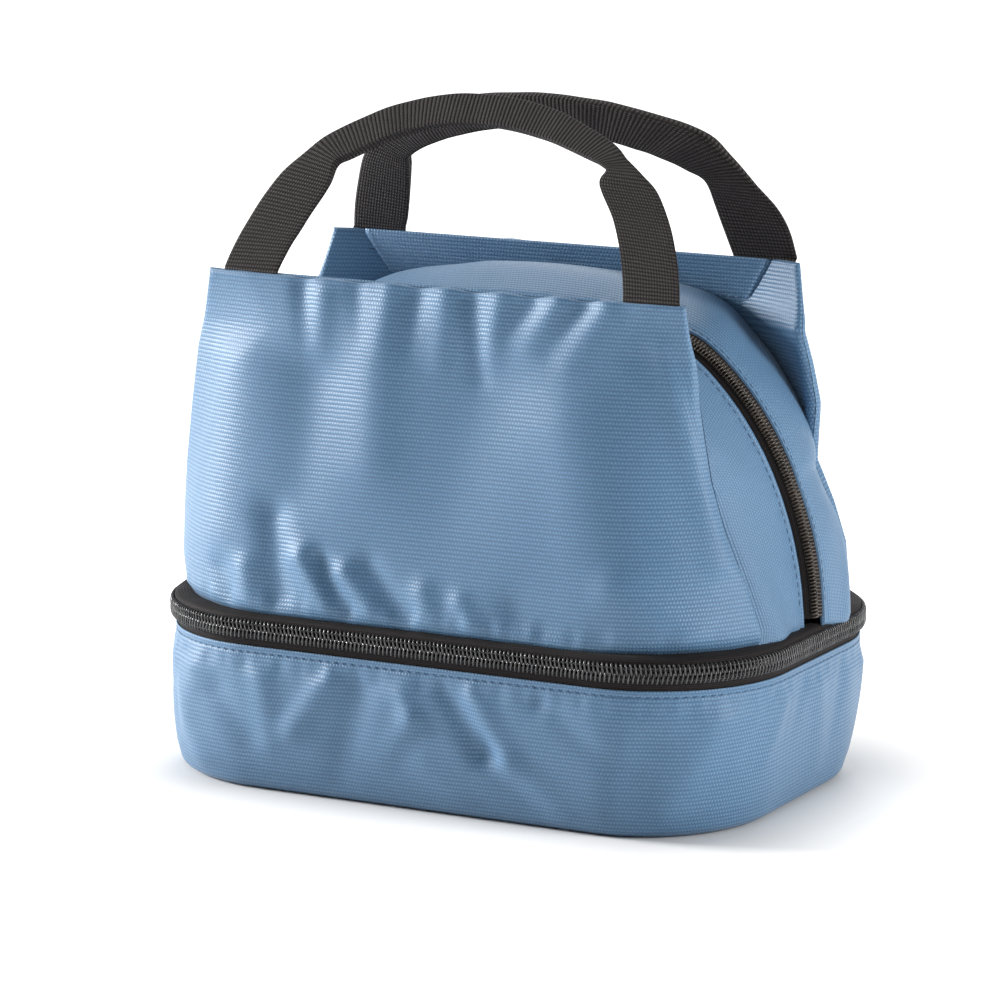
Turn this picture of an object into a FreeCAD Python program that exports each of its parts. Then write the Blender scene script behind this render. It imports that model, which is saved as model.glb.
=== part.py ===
import FreeCAD, Part
import math
import os

import Sketcher

# A soft insulated lunch bag with two compartments, as a parametric document in millimetres.
#
# The low base is a round-cornered tub. A coil zip runs round its rim and frees the whole upper part,
# which tips back about a cloth hinge at the rear. The upper part stands on a padded divider and is
# two halves: each has an upright panel with a webbing handle and half of a domed gusset, and the
# halves meet at a second zip that runs over the dome from side to side.
#
# Frame: +X to the right, +Y to the rear, +Z up, origin on the floor under the middle of the base.

SIZES = {
    # Base and its rim
    "bag_width": 260,
    "bag_depth": 170,
    "corner_radius": 56,
    "base_taper": 2.5,
    "edge_radius": 9.5,
    "panel_rise": 10,
    "wall_top": 56.5,
    "zip_level": 63.5,
    # Layers, from the outside in
    "cloth": 1.0,
    "foam": 4.0,
    "lining": 0.5,
    "layer_gap": 0.1,
    "working_gap": 0.3,
    # Zip round the rim
    "chain_stand": 2.2,
    "chain_half": 3.05,
    "tape_thick": 0.8,
    "hinge_half": 60,
    "hinge_drop": 12,
    "rim_binding": 2,
    "end_tab_inset": 1.6,
    "end_tab_reach": 13,
    "end_tab_height": 6.1,
    # Divider between the compartments
    "deck_level": 68.0,
    "ledge_overlap": 6,
    # Outline of the upper part where it stands on the divider
    "upper_width": 254,
    "upper_depth": 162,
    "upper_radius": 64,
    "upper_foot": 69.3,
    "wrap_angle": 19,
    # Upright panels
    "panel_top_half": 101,
    "panel_top_mid": 45,
    "front_top_y": 60,
    "front_top_z": 197,
    "rear_top_y": 42,
    "rear_top_z": 201,
    "panel_foam": 3.0,
    "hem_depth": 20,
    "hem_thick": 2.0,
    # Domed gusset where the zip crosses it, with heights above upper_foot
    "dome_half": 127.5,
    "dome_radius": 136,
    "dome_shoulder_x": 78,
    "dome_shoulder_rise": 109.2,
    "dome_crest": 117.7,
    "dome_shoulder_slope_x": 0.63,
    "dome_shoulder_slope_z": 0.78,
    "zip_lean": 3.5,
    # The same dome extended to just beyond each panel
    "front_seam_y": 68,
    "front_seam_half": 118,
    "front_seam_radius": 220,
    "front_seam_shoulder_x": 66,
    "front_seam_shoulder_rise": 108,
    "front_seam_crest": 119,
    "rear_seam_y": 56,
    "rear_seam_half": 115.5,
    "rear_seam_radius": 240,
    "rear_seam_shoulder_x": 63,
    "rear_seam_shoulder_rise": 120,
    "rear_seam_crest": 128,
    "cutter_reach": 40,
    # Zip over the dome
    "dome_zip_tape": 3.6,
    "dome_zip_teeth": 2.3,
    "dome_zip_stand": 1.4,
    "dome_zip_foot": 72,
    "dome_zip_left_foot": 84,
    # Webbing handles
    "strap_width": 25,
    "strap_thick": 1.6,
    "grip_width": 13,
    "grip_thick": 4,
    "leg_spread": 83,
    "front_strap_lean": 2.0,
    "rear_strap_lean": 0,
    "strap_end_depth": 18.4,
    "leg_lean_in": 3,
    "leg_top": 20,
    "leg_gap": 1.4,
    "grip_start_x": 71,
    "grip_start_rise": 40,
    "grip_mid_x": 40,
    "grip_mid_drop": 9,
    "grip_start_across": 0.85,
    "grip_start_up": 0.53,
    "grip_mid_across": 0.51,
    "grip_mid_up": 0.86,
    "front_handle_rise": 73.5,
    "front_handle_lean": 36,
    "rear_handle_rise": 62,
    "rear_handle_lean": 28,
    # Zip sliders and their pull tabs
    "slider_length": 11,
    "slider_width": 7.2,
    "slider_nose": 5.2,
    "slider_thick": 2.4,
    "bridge_length": 7,
    "bridge_height": 3.2,
    "bridge_bar": 1.0,
    "bridge_width": 2.0,
    "tab_length": 20,
    "tab_width": 6.4,
    "tab_thick": 1.2,
    "tab_window": 5.2,
    "tab_arm": 1.4,
    "base_slider_y": 23,
    "dome_slider_angle": 8.5,
    "dome_slider_gap": 1.4,
}

document = FreeCAD.newDocument("lunch_bag")
sheet = document.addObject("Spreadsheet::Sheet", "sizes")
for row, (alias, number) in enumerate(SIZES.items(), start=1):
    sheet.set(f"A{row}", alias)
    sheet.set(f"B{row}", str(number))
    sheet.setAlias(f"B{row}", alias)
document.recompute()

nodes = []


# ---------------------------------------------------------------- lengths bound to the sheet


class Dim:
    """A number together with the spreadsheet expression that drives it."""

    def __init__(self, value, text):
        self.value = value
        self.text = text

    @staticmethod
    def wrap(other):
        return other if isinstance(other, Dim) else Dim(float(other), f"({float(other)})")

    def _join(self, other, sign, value):
        return Dim(value, f"({self.text} {sign} {Dim.wrap(other).text})")

    def __add__(self, other):
        return self._join(other, "+", self.value + Dim.wrap(other).value)

    def __sub__(self, other):
        return self._join(other, "-", self.value - Dim.wrap(other).value)

    def __mul__(self, other):
        return self._join(other, "*", self.value * Dim.wrap(other).value)

    def __truediv__(self, other):
        return self._join(other, "/", self.value / Dim.wrap(other).value)

    def __radd__(self, other):
        return Dim.wrap(other) + self

    def __rsub__(self, other):
        return Dim.wrap(other) - self

    def __rmul__(self, other):
        return Dim.wrap(other) * self

    def __neg__(self):
        return Dim.wrap(-1) * self


def size(alias):
    return Dim(float(SIZES[alias]), f"sizes.{alias}")


def cosine(degrees):
    return Dim(math.cos(math.radians(degrees.value)), f"cos({degrees.text} * 1 deg)")


def sine(degrees):
    return Dim(math.sin(math.radians(degrees.value)), f"sin({degrees.text} * 1 deg)")


def bow_radius(chord, rise):
    """The radius of the arc that rises this far over this chord."""
    return chord * chord / (8 * rise) + rise / 2


def bind(thing, prop, dim):
    thing.setExpression(prop, dim.text)


# ---------------------------------------------------------------- outlines


def draw(sketch, loop):
    """Adds one closed loop to a sketch and pins it to the sheet.

    loop lists corners anticlockwise as (x, y, bend). bend is the radius of the side that leaves the
    corner: positive where it bows outwards, negative where it bows inwards, None where it is straight.
    """
    first = sketch.GeometryCount
    count = len(loop)
    starts = []
    for place, (x, y, bend) in enumerate(loop):
        end_x, end_y, _ = loop[(place + 1) % count]
        start = FreeCAD.Vector(Dim.wrap(x).value, Dim.wrap(y).value, 0)
        end = FreeCAD.Vector(Dim.wrap(end_x).value, Dim.wrap(end_y).value, 0)
        if bend is None:
            sketch.addGeometry(Part.LineSegment(start, end))
            starts.append(1)
        else:
            sketch.addGeometry(bowed_side(start, end, bend.value))
            starts.append(1 if bend.value > 0 else 2)
    for place, (x, y, bend) in enumerate(loop):
        side = first + place
        following = first + (place + 1) % count
        for kind, length in (("DistanceX", Dim.wrap(x)), ("DistanceY", Dim.wrap(y))):
            pin = Sketcher.Constraint(kind, -1, 1, side, starts[place], length.value)
            bind(sketch, f"Constraints[{sketch.addConstraint(pin)}]", length)
        joint = Sketcher.Constraint(
            "Coincident", side, 3 - starts[place], following, starts[(place + 1) % count]
        )
        sketch.addConstraint(joint)
        if bend is not None:
            radius = bend if bend.value > 0 else -bend
            pin = Sketcher.Constraint("Radius", side, radius.value)
            bind(sketch, f"Constraints[{sketch.addConstraint(pin)}]", radius)


def bowed_side(start, end, bend):
    """The minor arc between two points, always turning anticlockwise about its centre."""
    if bend < 0:
        start, end = end, start
    radius = abs(bend)
    chord = end - start
    reach = math.sqrt(max(radius**2 - (chord.Length / 2) ** 2, 0))
    inward = FreeCAD.Vector(-chord.y, chord.x, 0).normalize()
    centre = (start + end) * 0.5 + inward * reach
    angles = [math.atan2(point.y - centre.y, point.x - centre.x) for point in (start, end)]
    circle = Part.Circle(centre, FreeCAD.Vector(0, 0, 1), radius)
    return Part.ArcOfCircle(circle, *angles)


def mirrored(loop):
    """The same loop with y turned over, still anticlockwise."""
    return [(loop[k][0], -Dim.wrap(loop[k][1]), loop[k - 1][2]) for k in reversed(range(len(loop)))]


def round_rectangle(width, depth, radius):
    x, y = width / 2, depth / 2
    in_x, in_y = x - radius, y - radius
    return [
        (-in_x, -y, None),
        (in_x, -y, radius),
        (x, -in_y, None),
        (x, in_y, radius),
        (in_x, y, None),
        (-in_x, y, radius),
        (-x, in_y, None),
        (-x, -in_y, radius),
    ]


def rectangle(low_x, high_x, low_y, high_y):
    return [(low_x, low_y, None), (high_x, low_y, None), (high_x, high_y, None), (low_x, high_y, None)]


def rim_outline(inset):
    """The bag's outline at the rim, moved in by inset."""
    return round_rectangle(
        size("bag_width") - 2 * inset, size("bag_depth") - 2 * inset, size("corner_radius") - inset
    )


def upper_outline(inset):
    """The outline on which the upper part stands, moved in by inset."""
    return round_rectangle(
        size("upper_width") - 2 * inset, size("upper_depth") - 2 * inset, size("upper_radius") - inset
    )


# ---------------------------------------------------------------- features


def new_body(label):
    body = document.addObject("PartDesign::Body", label)
    body.Label = label
    nodes.append(body)
    return body


def body_sketch(body, loops, offset=0, role="XY_Plane"):
    """A sketch on one of the body's origin planes, moved along that plane's normal."""
    plane = next(item for item in body.Origin.OriginFeatures if item.Role == role)
    sketch = body.newObject("Sketcher::SketchObject", "outline")
    sketch.AttachmentSupport = [(plane, "")]
    sketch.MapMode = "FlatFace"
    bind(sketch, "AttachmentOffset.Base.z", Dim.wrap(offset))
    for loop in loops:
        draw(sketch, loop)
    return sketch


def pad(body, sketch, length, both_ways=False):
    feature = body.newObject("PartDesign::Pad", "pad")
    feature.Profile = sketch
    if both_ways:
        feature.SideType = "Symmetric"
    bind(feature, "Length", length)
    return feature


def plate(label, loops, low, high):
    """A flat piece or a ring between two levels."""
    body = new_body(label)
    pad(body, body_sketch(body, loops, low), high - low)
    return body


def edges_at(shape, level):
    """Names of the edges of a shape that lie flat at one level."""
    names = []
    for number, edge in enumerate(shape.Edges, start=1):
        box = edge.BoundBox
        if abs(box.ZMin - level) < 0.01 and abs(box.ZMax - level) < 0.01:
            names.append(f"Edge{number}")
    return names


def loose_sketch(loop, height=0, turn=0, depth=0):
    """A sketch outside any body: its plane starts level and turns about X by turn degrees."""
    sketch = document.addObject("Sketcher::SketchObject", "section")
    draw(sketch, loop)
    turn = Dim.wrap(turn)
    sketch.Placement = FreeCAD.Placement(
        FreeCAD.Vector(0, Dim.wrap(depth).value, Dim.wrap(height).value),
        FreeCAD.Rotation(FreeCAD.Vector(1, 0, 0), turn.value),
    )
    bind(sketch, "Placement.Base.y", Dim.wrap(depth))
    bind(sketch, "Placement.Base.z", Dim.wrap(height))
    if turn.value:
        bind(sketch, "Placement.Rotation.Angle", turn)
    return sketch


def loft(low_section, high_section, label="loft"):
    feature = document.addObject("Part::Loft", label)
    feature.Sections = [low_section, high_section]
    feature.Solid = True
    feature.Ruled = True
    return feature


def box(low, high):
    """A block from its lowest to its highest corner."""
    feature = document.addObject("Part::Box", "block")
    for axis, side, start, end in zip("xyz", ("Length", "Width", "Height"), low, high, strict=True):
        start, end = Dim.wrap(start), Dim.wrap(end)
        bind(feature, f"Placement.Base.{axis}", start)
        bind(feature, side, end - start)
    return feature


def combine(kind, base, tool, label=None):
    """A Part::Cut, Part::Fuse or Part::Common; with a label it is a finished node."""
    feature = document.addObject(kind, label or "step")
    feature.Base = base
    feature.Tool = tool
    if label:
        feature.Label = label
        nodes.append(feature)
    return feature


# ---------------------------------------------------------------- base


def tapered_ring(label, low, high, outer, inner):
    """A wall that follows the rim outline and leans in towards the floor."""
    body = new_body(label)
    taper = size("base_taper")
    for kind, inset in (("PartDesign::AdditiveLoft", outer), ("PartDesign::SubtractiveLoft", inner)):
        foot = body_sketch(body, [rim_outline(inset + taper)], low)
        top = body_sketch(body, [rim_outline(inset)], high)
        feature = body.newObject(kind, "wall")
        feature.Profile = foot
        feature.Sections = [top]
        feature.Ruled = True
    return body


def rounded_block(outline, low, high, radius, label=None):
    """A flat block whose lower edge is rounded over; with a label it is a finished node."""
    body = new_body(label) if label else document.addObject("PartDesign::Body", "block")
    slab = pad(body, body_sketch(body, [outline], low), high - low)
    document.recompute()
    feature = body.newObject("PartDesign::Fillet", "rounding")
    feature.Base = (slab, edges_at(slab.Shape, low.value))
    bind(feature, "Radius", radius)
    return body


def base_bottom_panel():
    """The cloth floor: a shallow dish with a rounded edge."""
    cloth, radius = size("cloth"), size("edge_radius")
    outer = size("chain_stand") + size("base_taper")
    high = size("panel_rise")
    block = rounded_block(rim_outline(outer), Dim.wrap(0), high, radius)
    hollow = rounded_block(rim_outline(outer + cloth), cloth, high + 1, radius - cloth)
    combine("Part::Cut", block, hollow, "base_bottom_panel")


def base_pieces():
    cloth, foam, lining, gap = size("cloth"), size("foam"), size("lining"), size("layer_gap")
    outer = size("chain_stand")
    wall_foot = size("panel_rise")
    foam_outer = outer + cloth + size("tape_thick")
    lining_outer = foam_outer + foam + gap
    rim = size("wall_top") + size("chain_half") / 2
    base_bottom_panel()
    tapered_ring("base_side_wall", wall_foot, size("wall_top"), outer, outer + cloth)
    tapered_ring("base_wall_foam", wall_foot, rim, foam_outer, foam_outer + foam)
    tapered_ring("base_wall_lining", wall_foot, rim, lining_outer, lining_outer + lining)

    floor_low = cloth + size("working_gap")
    floor_high = floor_low + foam
    floor_inset = outer + size("base_taper") + cloth + size("edge_radius") / 2
    rounded_block(rim_outline(floor_inset), floor_low, floor_high, foam - gap, "base_floor_foam")
    plate(
        "base_floor_lining",
        [rim_outline(floor_inset - size("edge_radius") / 4)],
        floor_high + gap,
        floor_high + gap + lining,
    )
    binding_low = rim + gap
    plate(
        "base_rim_binding",
        [rim_outline(foam_outer), rim_outline(lining_outer + lining)],
        binding_low,
        binding_low + size("rim_binding"),
    )


# ---------------------------------------------------------------- zip round the rim and its hinge


def rear_opening(low, high):
    """The block that clears the zip away from the cloth hinge at the rear."""
    half = size("hinge_half")
    return box((-half, size("bag_depth") / 3, low), (half, size("bag_depth"), high))


def zip_ring(label, outer, inner, low, high):
    """One half of the rim zip: a ring that stops at both ends of the hinge."""
    ring = document.addObject("PartDesign::Body", "ring")
    pad(ring, body_sketch(ring, [rim_outline(outer), rim_outline(inner)], low), high - low)
    return combine("Part::Cut", ring, rear_opening(low - 1, high + 1), label)


def rim_zip():
    stand, thick = size("chain_stand"), size("tape_thick")
    half_gap = size("working_gap") / 2
    below, above = size("zip_level") - half_gap, size("zip_level") + half_gap
    zip_ring("base_zip_tape", stand, stand + thick, size("wall_top"), below)
    zip_ring("base_zip_teeth", Dim.wrap(0), stand, below - size("chain_half"), below)
    zip_ring("divider_zip_teeth", Dim.wrap(0), stand, above, above + size("chain_half"))
    wall = document.addObject("PartDesign::Body", "tape_wall")
    wall_loops = [rim_outline(stand), rim_outline(stand + thick)]
    pad(wall, body_sketch(wall, wall_loops, above), size("deck_level") - above)
    wall_cut = combine("Part::Cut", wall, rear_opening(above - 1, size("deck_level") + 1))
    ledge = document.addObject("PartDesign::Body", "tape_ledge")
    loops = [rim_outline(stand), upper_outline(size("ledge_overlap"))]
    pad(ledge, body_sketch(ledge, loops, size("deck_level")), thick)
    combine("Part::Fuse", wall_cut, ledge, "divider_zip_tape")

    hinge_y = size("bag_depth") / 2 - stand
    strip_low = size("wall_top") - size("hinge_drop")
    strip = new_body("back_hinge_strip")
    hinge_half, near = size("hinge_half"), hinge_y + size("layer_gap")
    loop = rectangle(-hinge_half, hinge_half, near, hinge_y + cloth_reach())
    pad(strip, body_sketch(strip, [loop], strip_low), below - strip_low)

    tabs = new_body("base_zip_end_tabs")
    tab_near, tab_far = near + stand, hinge_y + stand + thick
    start, stop = hinge_half + size("end_tab_inset"), hinge_half + size("end_tab_reach")
    loops = [rectangle(-stop, -start, tab_near, tab_far), rectangle(start, stop, tab_near, tab_far)]
    tab_low = below - size("end_tab_height")
    pad(tabs, body_sketch(tabs, loops, tab_low), below - tab_low)


def cloth_reach():
    """How far the hinge strip stands out of the rear wall."""
    return size("layer_gap") + size("cloth")


# ---------------------------------------------------------------- divider


def divider_pieces():
    gap, lining = size("layer_gap"), size("lining")
    inset = size("chain_stand") + size("tape_thick") + size("working_gap")
    under = size("zip_level") + size("working_gap")
    plate("divider_under_lining", [rim_outline(inset)], under, under + lining)
    plate("divider_foam", [rim_outline(inset)], under + lining + gap, size("deck_level") - gap)
    plate(
        "divider_top_lining",
        [upper_outline(size("ledge_overlap") + size("working_gap"))],
        size("deck_level"),
        size("deck_level") + lining,
    )


# ---------------------------------------------------------------- panels of the upper part


def panel_foot(near, far):
    """Plan of the front panel at its foot between two depths from the outside: it wraps both corners."""
    centre_x = size("upper_width") / 2 - size("upper_radius")
    centre_y = size("upper_radius") - size("upper_depth") / 2
    turn_x, turn_y = cosine(size("wrap_angle")), sine(size("wrap_angle"))
    outer, inner = size("upper_radius") - near, size("upper_radius") - far
    return [
        (-centre_x - outer * turn_x, centre_y - outer * turn_y, outer),
        (-centre_x, centre_y - outer, None),
        (centre_x, centre_y - outer, outer),
        (centre_x + outer * turn_x, centre_y - outer * turn_y, None),
        (centre_x + inner * turn_x, centre_y - inner * turn_y, -inner),
        (centre_x, centre_y - inner, None),
        (-centre_x, centre_y - inner, -inner),
        (-centre_x - inner * turn_x, centre_y - inner * turn_y, None),
    ]


def panel_head(near, far, top_y):
    """Plan of the front panel at its straight top edge, with as many corners as at its foot."""
    half, middle = size("panel_top_half"), size("panel_top_mid")
    ahead, behind = near - top_y, far - top_y
    outer = [(x, ahead, None) for x in (-half, -middle, middle, half)]
    inner = [(x, behind, None) for x in (half, middle, -middle, -half)]
    return outer + inner


def panel_layer(side, near, far, label="loft"):
    """One layer of a panel, over its full height."""
    foot = panel_foot(near, far)
    head = panel_head(near, far, size(f"{side}_top_y"))
    if side == "rear":
        foot, head = mirrored(foot), mirrored(head)
    return loft(loose_sketch(foot, size("upper_foot")), loose_sketch(head, size(f"{side}_top_z")), label)


def slab_between(low, high):
    """A block over the whole bag between two levels."""
    reach = size("bag_width")
    return box((-reach, -reach, low), (reach, reach, high))


def panel_pieces(side):
    cloth, gap = size("cloth"), size("layer_gap")
    foam_near = cloth + gap
    foam_far = foam_near + size("panel_foam")
    hem_low = size(f"{side}_top_z") - size("hem_depth")
    below_hem = slab_between(0, hem_low - gap)
    shell = panel_layer(side, Dim.wrap(0), cloth, f"{side}_panel")
    shell.Label = f"{side}_panel"
    nodes.append(shell)
    combine("Part::Common", panel_layer(side, foam_near, foam_far), below_hem, f"{side}_panel_foam")
    lining = panel_layer(side, foam_far + gap, foam_far + gap + size("lining"))
    combine("Part::Common", lining, below_hem, f"{side}_panel_lining")
    hem = panel_layer(side, foam_near, foam_near + size("hem_thick"))
    combine("Part::Common", hem, slab_between(hem_low, size("bag_width")), f"{side}_hem")


def panel_depth():
    """From a panel's outer face to just behind its lining."""
    return size("cloth") + size("panel_foam") + size("lining") + 3 * size("layer_gap")


# ---------------------------------------------------------------- domed gusset and its zip


def dome_band(prefix, near, far):
    """Section of the dome between two depths from the outside, with heights above its foot."""
    half, shoulder = size(f"{prefix}_half"), size(f"{prefix}_shoulder_x")
    rise, crest = size(f"{prefix}_shoulder_rise"), size(f"{prefix}_crest")
    radius = size(f"{prefix}_radius")
    slope_x, slope_z = SIZES["dome_shoulder_slope_x"], SIZES["dome_shoulder_slope_z"]

    def side_of(depth):
        x, z = shoulder - slope_x * depth, rise - slope_z * depth
        return half - depth, x, z, radius - depth, bow_radius(2 * x, crest - depth - z)

    foot, x, z, flank, top = side_of(near)
    in_foot, in_x, in_z, in_flank, in_top = side_of(far)
    return [
        (foot, 0, flank),
        (x, z, top),
        (-x, z, flank),
        (-foot, 0, None),
        (-in_foot, 0, -in_flank),
        (-in_x, in_z, -in_top),
        (in_x, in_z, -in_flank),
        (in_foot, 0, None),
    ]


def away(side, distance):
    """A distance from the middle of the bag towards one half's panel."""
    return distance if side == "rear" else -distance


def dome_layer(side, near, far):
    """One layer of a half dome, from the zip tape to beyond the panel."""
    upright = Dim.wrap(90)
    at_zip = loose_sketch(
        dome_band("dome", near, far),
        size("upper_foot"),
        upright + size("zip_lean"),
        away(side, size("dome_zip_tape")),
    )
    seam_band = dome_band(f"{side}_seam", near, far)
    seam_y = away(side, size(f"{side}_seam_y"))
    at_seam = loose_sketch(seam_band, size("upper_foot"), upright, seam_y)
    return loft(at_zip, at_seam)


def zip_band(side, near, far, width, start):
    """A strip that follows the dome beside the zip's centre line."""
    section = loose_sketch(
        dome_band("dome", near, far), size("upper_foot"), 90 + size("zip_lean"), away(side, start)
    )
    strip = document.addObject("Part::Extrusion", "strip")
    strip.Base = section
    strip.DirMode = "Normal"
    strip.Solid = True
    bind(strip, "LengthFwd", -width if side == "rear" else width)
    return strip


def dome_pieces(side):
    cloth, gap, lining = size("cloth"), size("layer_gap"), size("lining")
    foam_near = cloth + gap
    foam_far = foam_near + size("panel_foam")
    panel_block = panel_layer(side, -size("cutter_reach"), panel_depth())
    layers = (
        ("gusset", Dim.wrap(0), cloth),
        ("gusset_foam", foam_near, foam_far),
        ("gusset_lining", foam_far + gap, foam_far + gap + lining),
    )
    for name, near, far in layers:
        combine("Part::Cut", dome_layer(side, near, far), panel_block, f"{side}_{name}")

    half_gap = size("working_gap") / 2
    tape_width = size("dome_zip_tape") - half_gap - gap
    tape = zip_band(side, gap, gap + size("tape_thick"), tape_width, half_gap)
    above_foot = slab_between(size("dome_zip_foot"), size("bag_width"))
    combine("Part::Common", tape, above_foot, f"{side}_zip_tape")
    teeth = zip_band(side, -size("dome_zip_stand"), gap, size("dome_zip_teeth"), half_gap)
    depth = size("bag_depth")
    low_left = box((-size("bag_width"), -depth, 0), (0, depth, size("dome_zip_left_foot")))
    clear_of_stop = combine("Part::Cut", teeth, low_left)
    combine("Part::Common", clear_of_stop, above_foot, f"{side}_zip_teeth")


# ---------------------------------------------------------------- handles


def handle_rail(rise, offset):
    """Right half of one edge of a handle, from its foot to beside its crest.

    offset is 1 for the outer edge and -1 for the inner edge. The leg keeps the webbing's full width,
    and the grip, where the webbing is folded in half, is grip_width wide.
    """
    half_leg, half_grip = offset * size("strap_width") / 2, offset * size("grip_width") / 2
    scale = rise / size("front_handle_rise")
    bend = size("grip_start_x") + half_grip * 2
    start_across, start_up = SIZES["grip_start_across"], SIZES["grip_start_up"]
    mid_across, mid_up = SIZES["grip_mid_across"], SIZES["grip_mid_up"]
    shoulder_x = size("grip_start_x") + start_across * half_grip
    shoulder_z = size("grip_start_rise") * scale + start_up * half_grip
    beside_x = size("grip_mid_x") + mid_across * half_grip
    beside_z = rise - size("grip_mid_drop") * scale + mid_up * half_grip
    crest = bow_radius(2 * beside_x, rise + half_grip - beside_z)
    return [
        (size("leg_spread") + half_leg, Dim.wrap(0), None),
        (size("leg_spread") - size("leg_lean_in") + half_leg, size("leg_top") * scale, None),
        (shoulder_x, shoulder_z, bend),
        (beside_x, beside_z, crest),
    ]


def rail_across(rail, first):
    """Both halves of a handle's outer edge, from the right foot over to the left foot."""
    right = rail[first:]
    left = [(-x, z, right[k - 1][2] if k else None) for k, (x, z, _) in enumerate(right)][::-1]
    return right + left


def band_between(outer, inner):
    """The closed band between an outer edge and an inner edge that both run right to left."""
    back = [(x, z, inner[k - 1][2]) for k, (x, z, _) in enumerate(inner)]
    back = [(x, z, None if bend is None or k == 0 else -bend) for k, (x, z, bend) in enumerate(back)]
    return outer[:-1] + [(outer[-1][0], outer[-1][1], None)] + back[::-1]


def handle(side):
    """A webbing loop in its own upright plane, then leaned over the dome."""
    rise = size(f"{side}_handle_rise")
    outer, inner = handle_rail(rise, 1), handle_rail(rise, -1)
    body = new_body(f"{side}_handle")
    loop = band_between(rail_across(outer, 0), rail_across(inner, 0))
    pad(body, body_sketch(body, [loop], 0, "XZ_Plane"), size("strap_thick"), both_ways=True)
    grip = band_between(rail_across(outer, 2), rail_across(inner, 2))
    pad(body, body_sketch(body, [grip], 0, "XZ_Plane"), size("grip_thick"), both_ways=True)
    lean = size(f"{side}_handle_lean")
    lean = lean if side == "rear" else -lean
    body.Placement = FreeCAD.Placement(
        FreeCAD.Vector(), FreeCAD.Rotation(FreeCAD.Vector(1, 0, 0), lean.value)
    )
    bind(body, "Placement.Base.y", away(side, leg_y(side)))
    bind(body, "Placement.Base.z", size(f"{side}_top_z") + size("leg_gap"))
    bind(body, "Placement.Rotation.Angle", lean)


def leg_y(side):
    """How far from the middle of the bag a handle's legs stand."""
    behind_hem = size("cloth") + size("hem_thick") + 3 * size("layer_gap") + size("strap_thick") / 2
    return size(f"{side}_top_y") - behind_hem


def strap_ends(side):
    """The two ends of the webbing, sewn down behind the hem and leaning as the panel does."""
    body = new_body(f"{side}_strap_ends")
    outer = leg_y(side) + size("strap_thick") / 2
    inner = leg_y(side) - size("strap_thick") / 2
    high = size(f"{side}_top_z")
    low = high - size("strap_end_depth")
    lean = size(f"{side}_strap_lean")
    corners = [(inner - lean, low), (outer - lean, low), (outer, high), (inner, high)]
    if side == "front":
        corners = [corners[place] for place in (1, 0, 3, 2)]
    section = [(away(side, y), z, None) for y, z in corners]
    for middle in (-size("leg_spread"), size("leg_spread")):
        sketch = body_sketch(body, [section], middle - size("strap_width") / 2, "YZ_Plane")
        pad(body, sketch, size("strap_width"))


# ---------------------------------------------------------------- sliders


def slider(label, placement):
    """A slider in its own frame: +X stands out of the chain, +Z is the way it closes."""
    body = new_body(label)
    half, nose = size("slider_width") / 2, size("slider_nose") / 2
    long_half = size("slider_length") / 2
    shield = [
        (-nose, -long_half, None),
        (nose, -long_half, None),
        (half, 0, None),
        (half, long_half, None),
        (-half, long_half, None),
        (-half, 0, None),
    ]
    pad(body, body_sketch(body, [shield], 0, "YZ_Plane"), size("slider_thick"))
    reach = size("bridge_length") / 2
    bar, foot = size("bridge_bar"), size("slider_thick")
    top = foot + size("bridge_height")
    bridge = [
        (foot, -reach, None),
        (top, -reach, None),
        (top, reach, None),
        (foot, reach, None),
        (foot, reach - bar, None),
        (top - bar, reach - bar, None),
        (top - bar, -reach + bar, None),
        (foot, -reach + bar, None),
    ]
    pad(body, body_sketch(body, [bridge], 0, "XZ_Plane"), size("bridge_width"), both_ways=True)
    body.Placement = placement


def pull_tab(label, placement):
    """A pull tab in its slider's frame: its eye goes round the bridge, and it hangs along -Z."""
    body = new_body(label)
    half, arm = size("tab_width") / 2, size("tab_arm")
    top = size("tab_thick") / 2
    window_low = top - arm / 2 - size("tab_window")
    outline = rectangle(-half, half, top - size("tab_length"), top)
    window = rectangle(-half + arm, half - arm, window_low, top - size("tab_thick"))
    low = size("slider_thick") + (size("bridge_height") - size("bridge_bar") - size("tab_thick")) / 2
    pad(body, body_sketch(body, [outline, window], low, "YZ_Plane"), size("tab_thick"))
    body.Placement = placement


def slider_frame(place, outward, closing):
    """The placement whose +X is outward and whose +Z is the closing direction."""
    across = closing.cross(outward)
    return FreeCAD.Placement(place, FreeCAD.Rotation(outward, across, closing, "XYZ"))


def base_slider_frame():
    place = FreeCAD.Vector(
        -(SIZES["bag_width"] / 2 + SIZES["working_gap"]), SIZES["base_slider_y"], SIZES["zip_level"]
    )
    return slider_frame(place, FreeCAD.Vector(-1, 0, 0), FreeCAD.Vector(0, 1, 0))


def dome_slider_frame():
    """On the left flank of the dome, whose arc is centred near the middle of its foot."""
    angle = math.radians(SIZES["dome_slider_angle"])
    tilt = FreeCAD.Rotation(FreeCAD.Vector(1, 0, 0), SIZES["zip_lean"])
    outward = tilt.multVec(FreeCAD.Vector(-math.cos(angle), 0, math.sin(angle)))
    closing = tilt.multVec(FreeCAD.Vector(math.sin(angle), 0, math.cos(angle)))
    centre_x, centre_rise = flank_centre()
    from_foot = tilt.multVec(FreeCAD.Vector(-centre_x, 0, centre_rise))
    centre = FreeCAD.Vector(0, 0, SIZES["upper_foot"]) + from_foot
    reach = SIZES["dome_radius"] + SIZES["dome_zip_stand"] + SIZES["dome_slider_gap"]
    return slider_frame(centre + outward * reach, outward, closing)


def flank_centre():
    """Centre of the right flank's arc in the zip's plane: x, and height above the foot."""
    foot = FreeCAD.Vector(SIZES["dome_half"], 0, 0)
    shoulder = FreeCAD.Vector(SIZES["dome_shoulder_x"], SIZES["dome_shoulder_rise"], 0)
    centre = bowed_side(foot, shoulder, SIZES["dome_radius"]).Center
    return centre.x, centre.y


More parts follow.
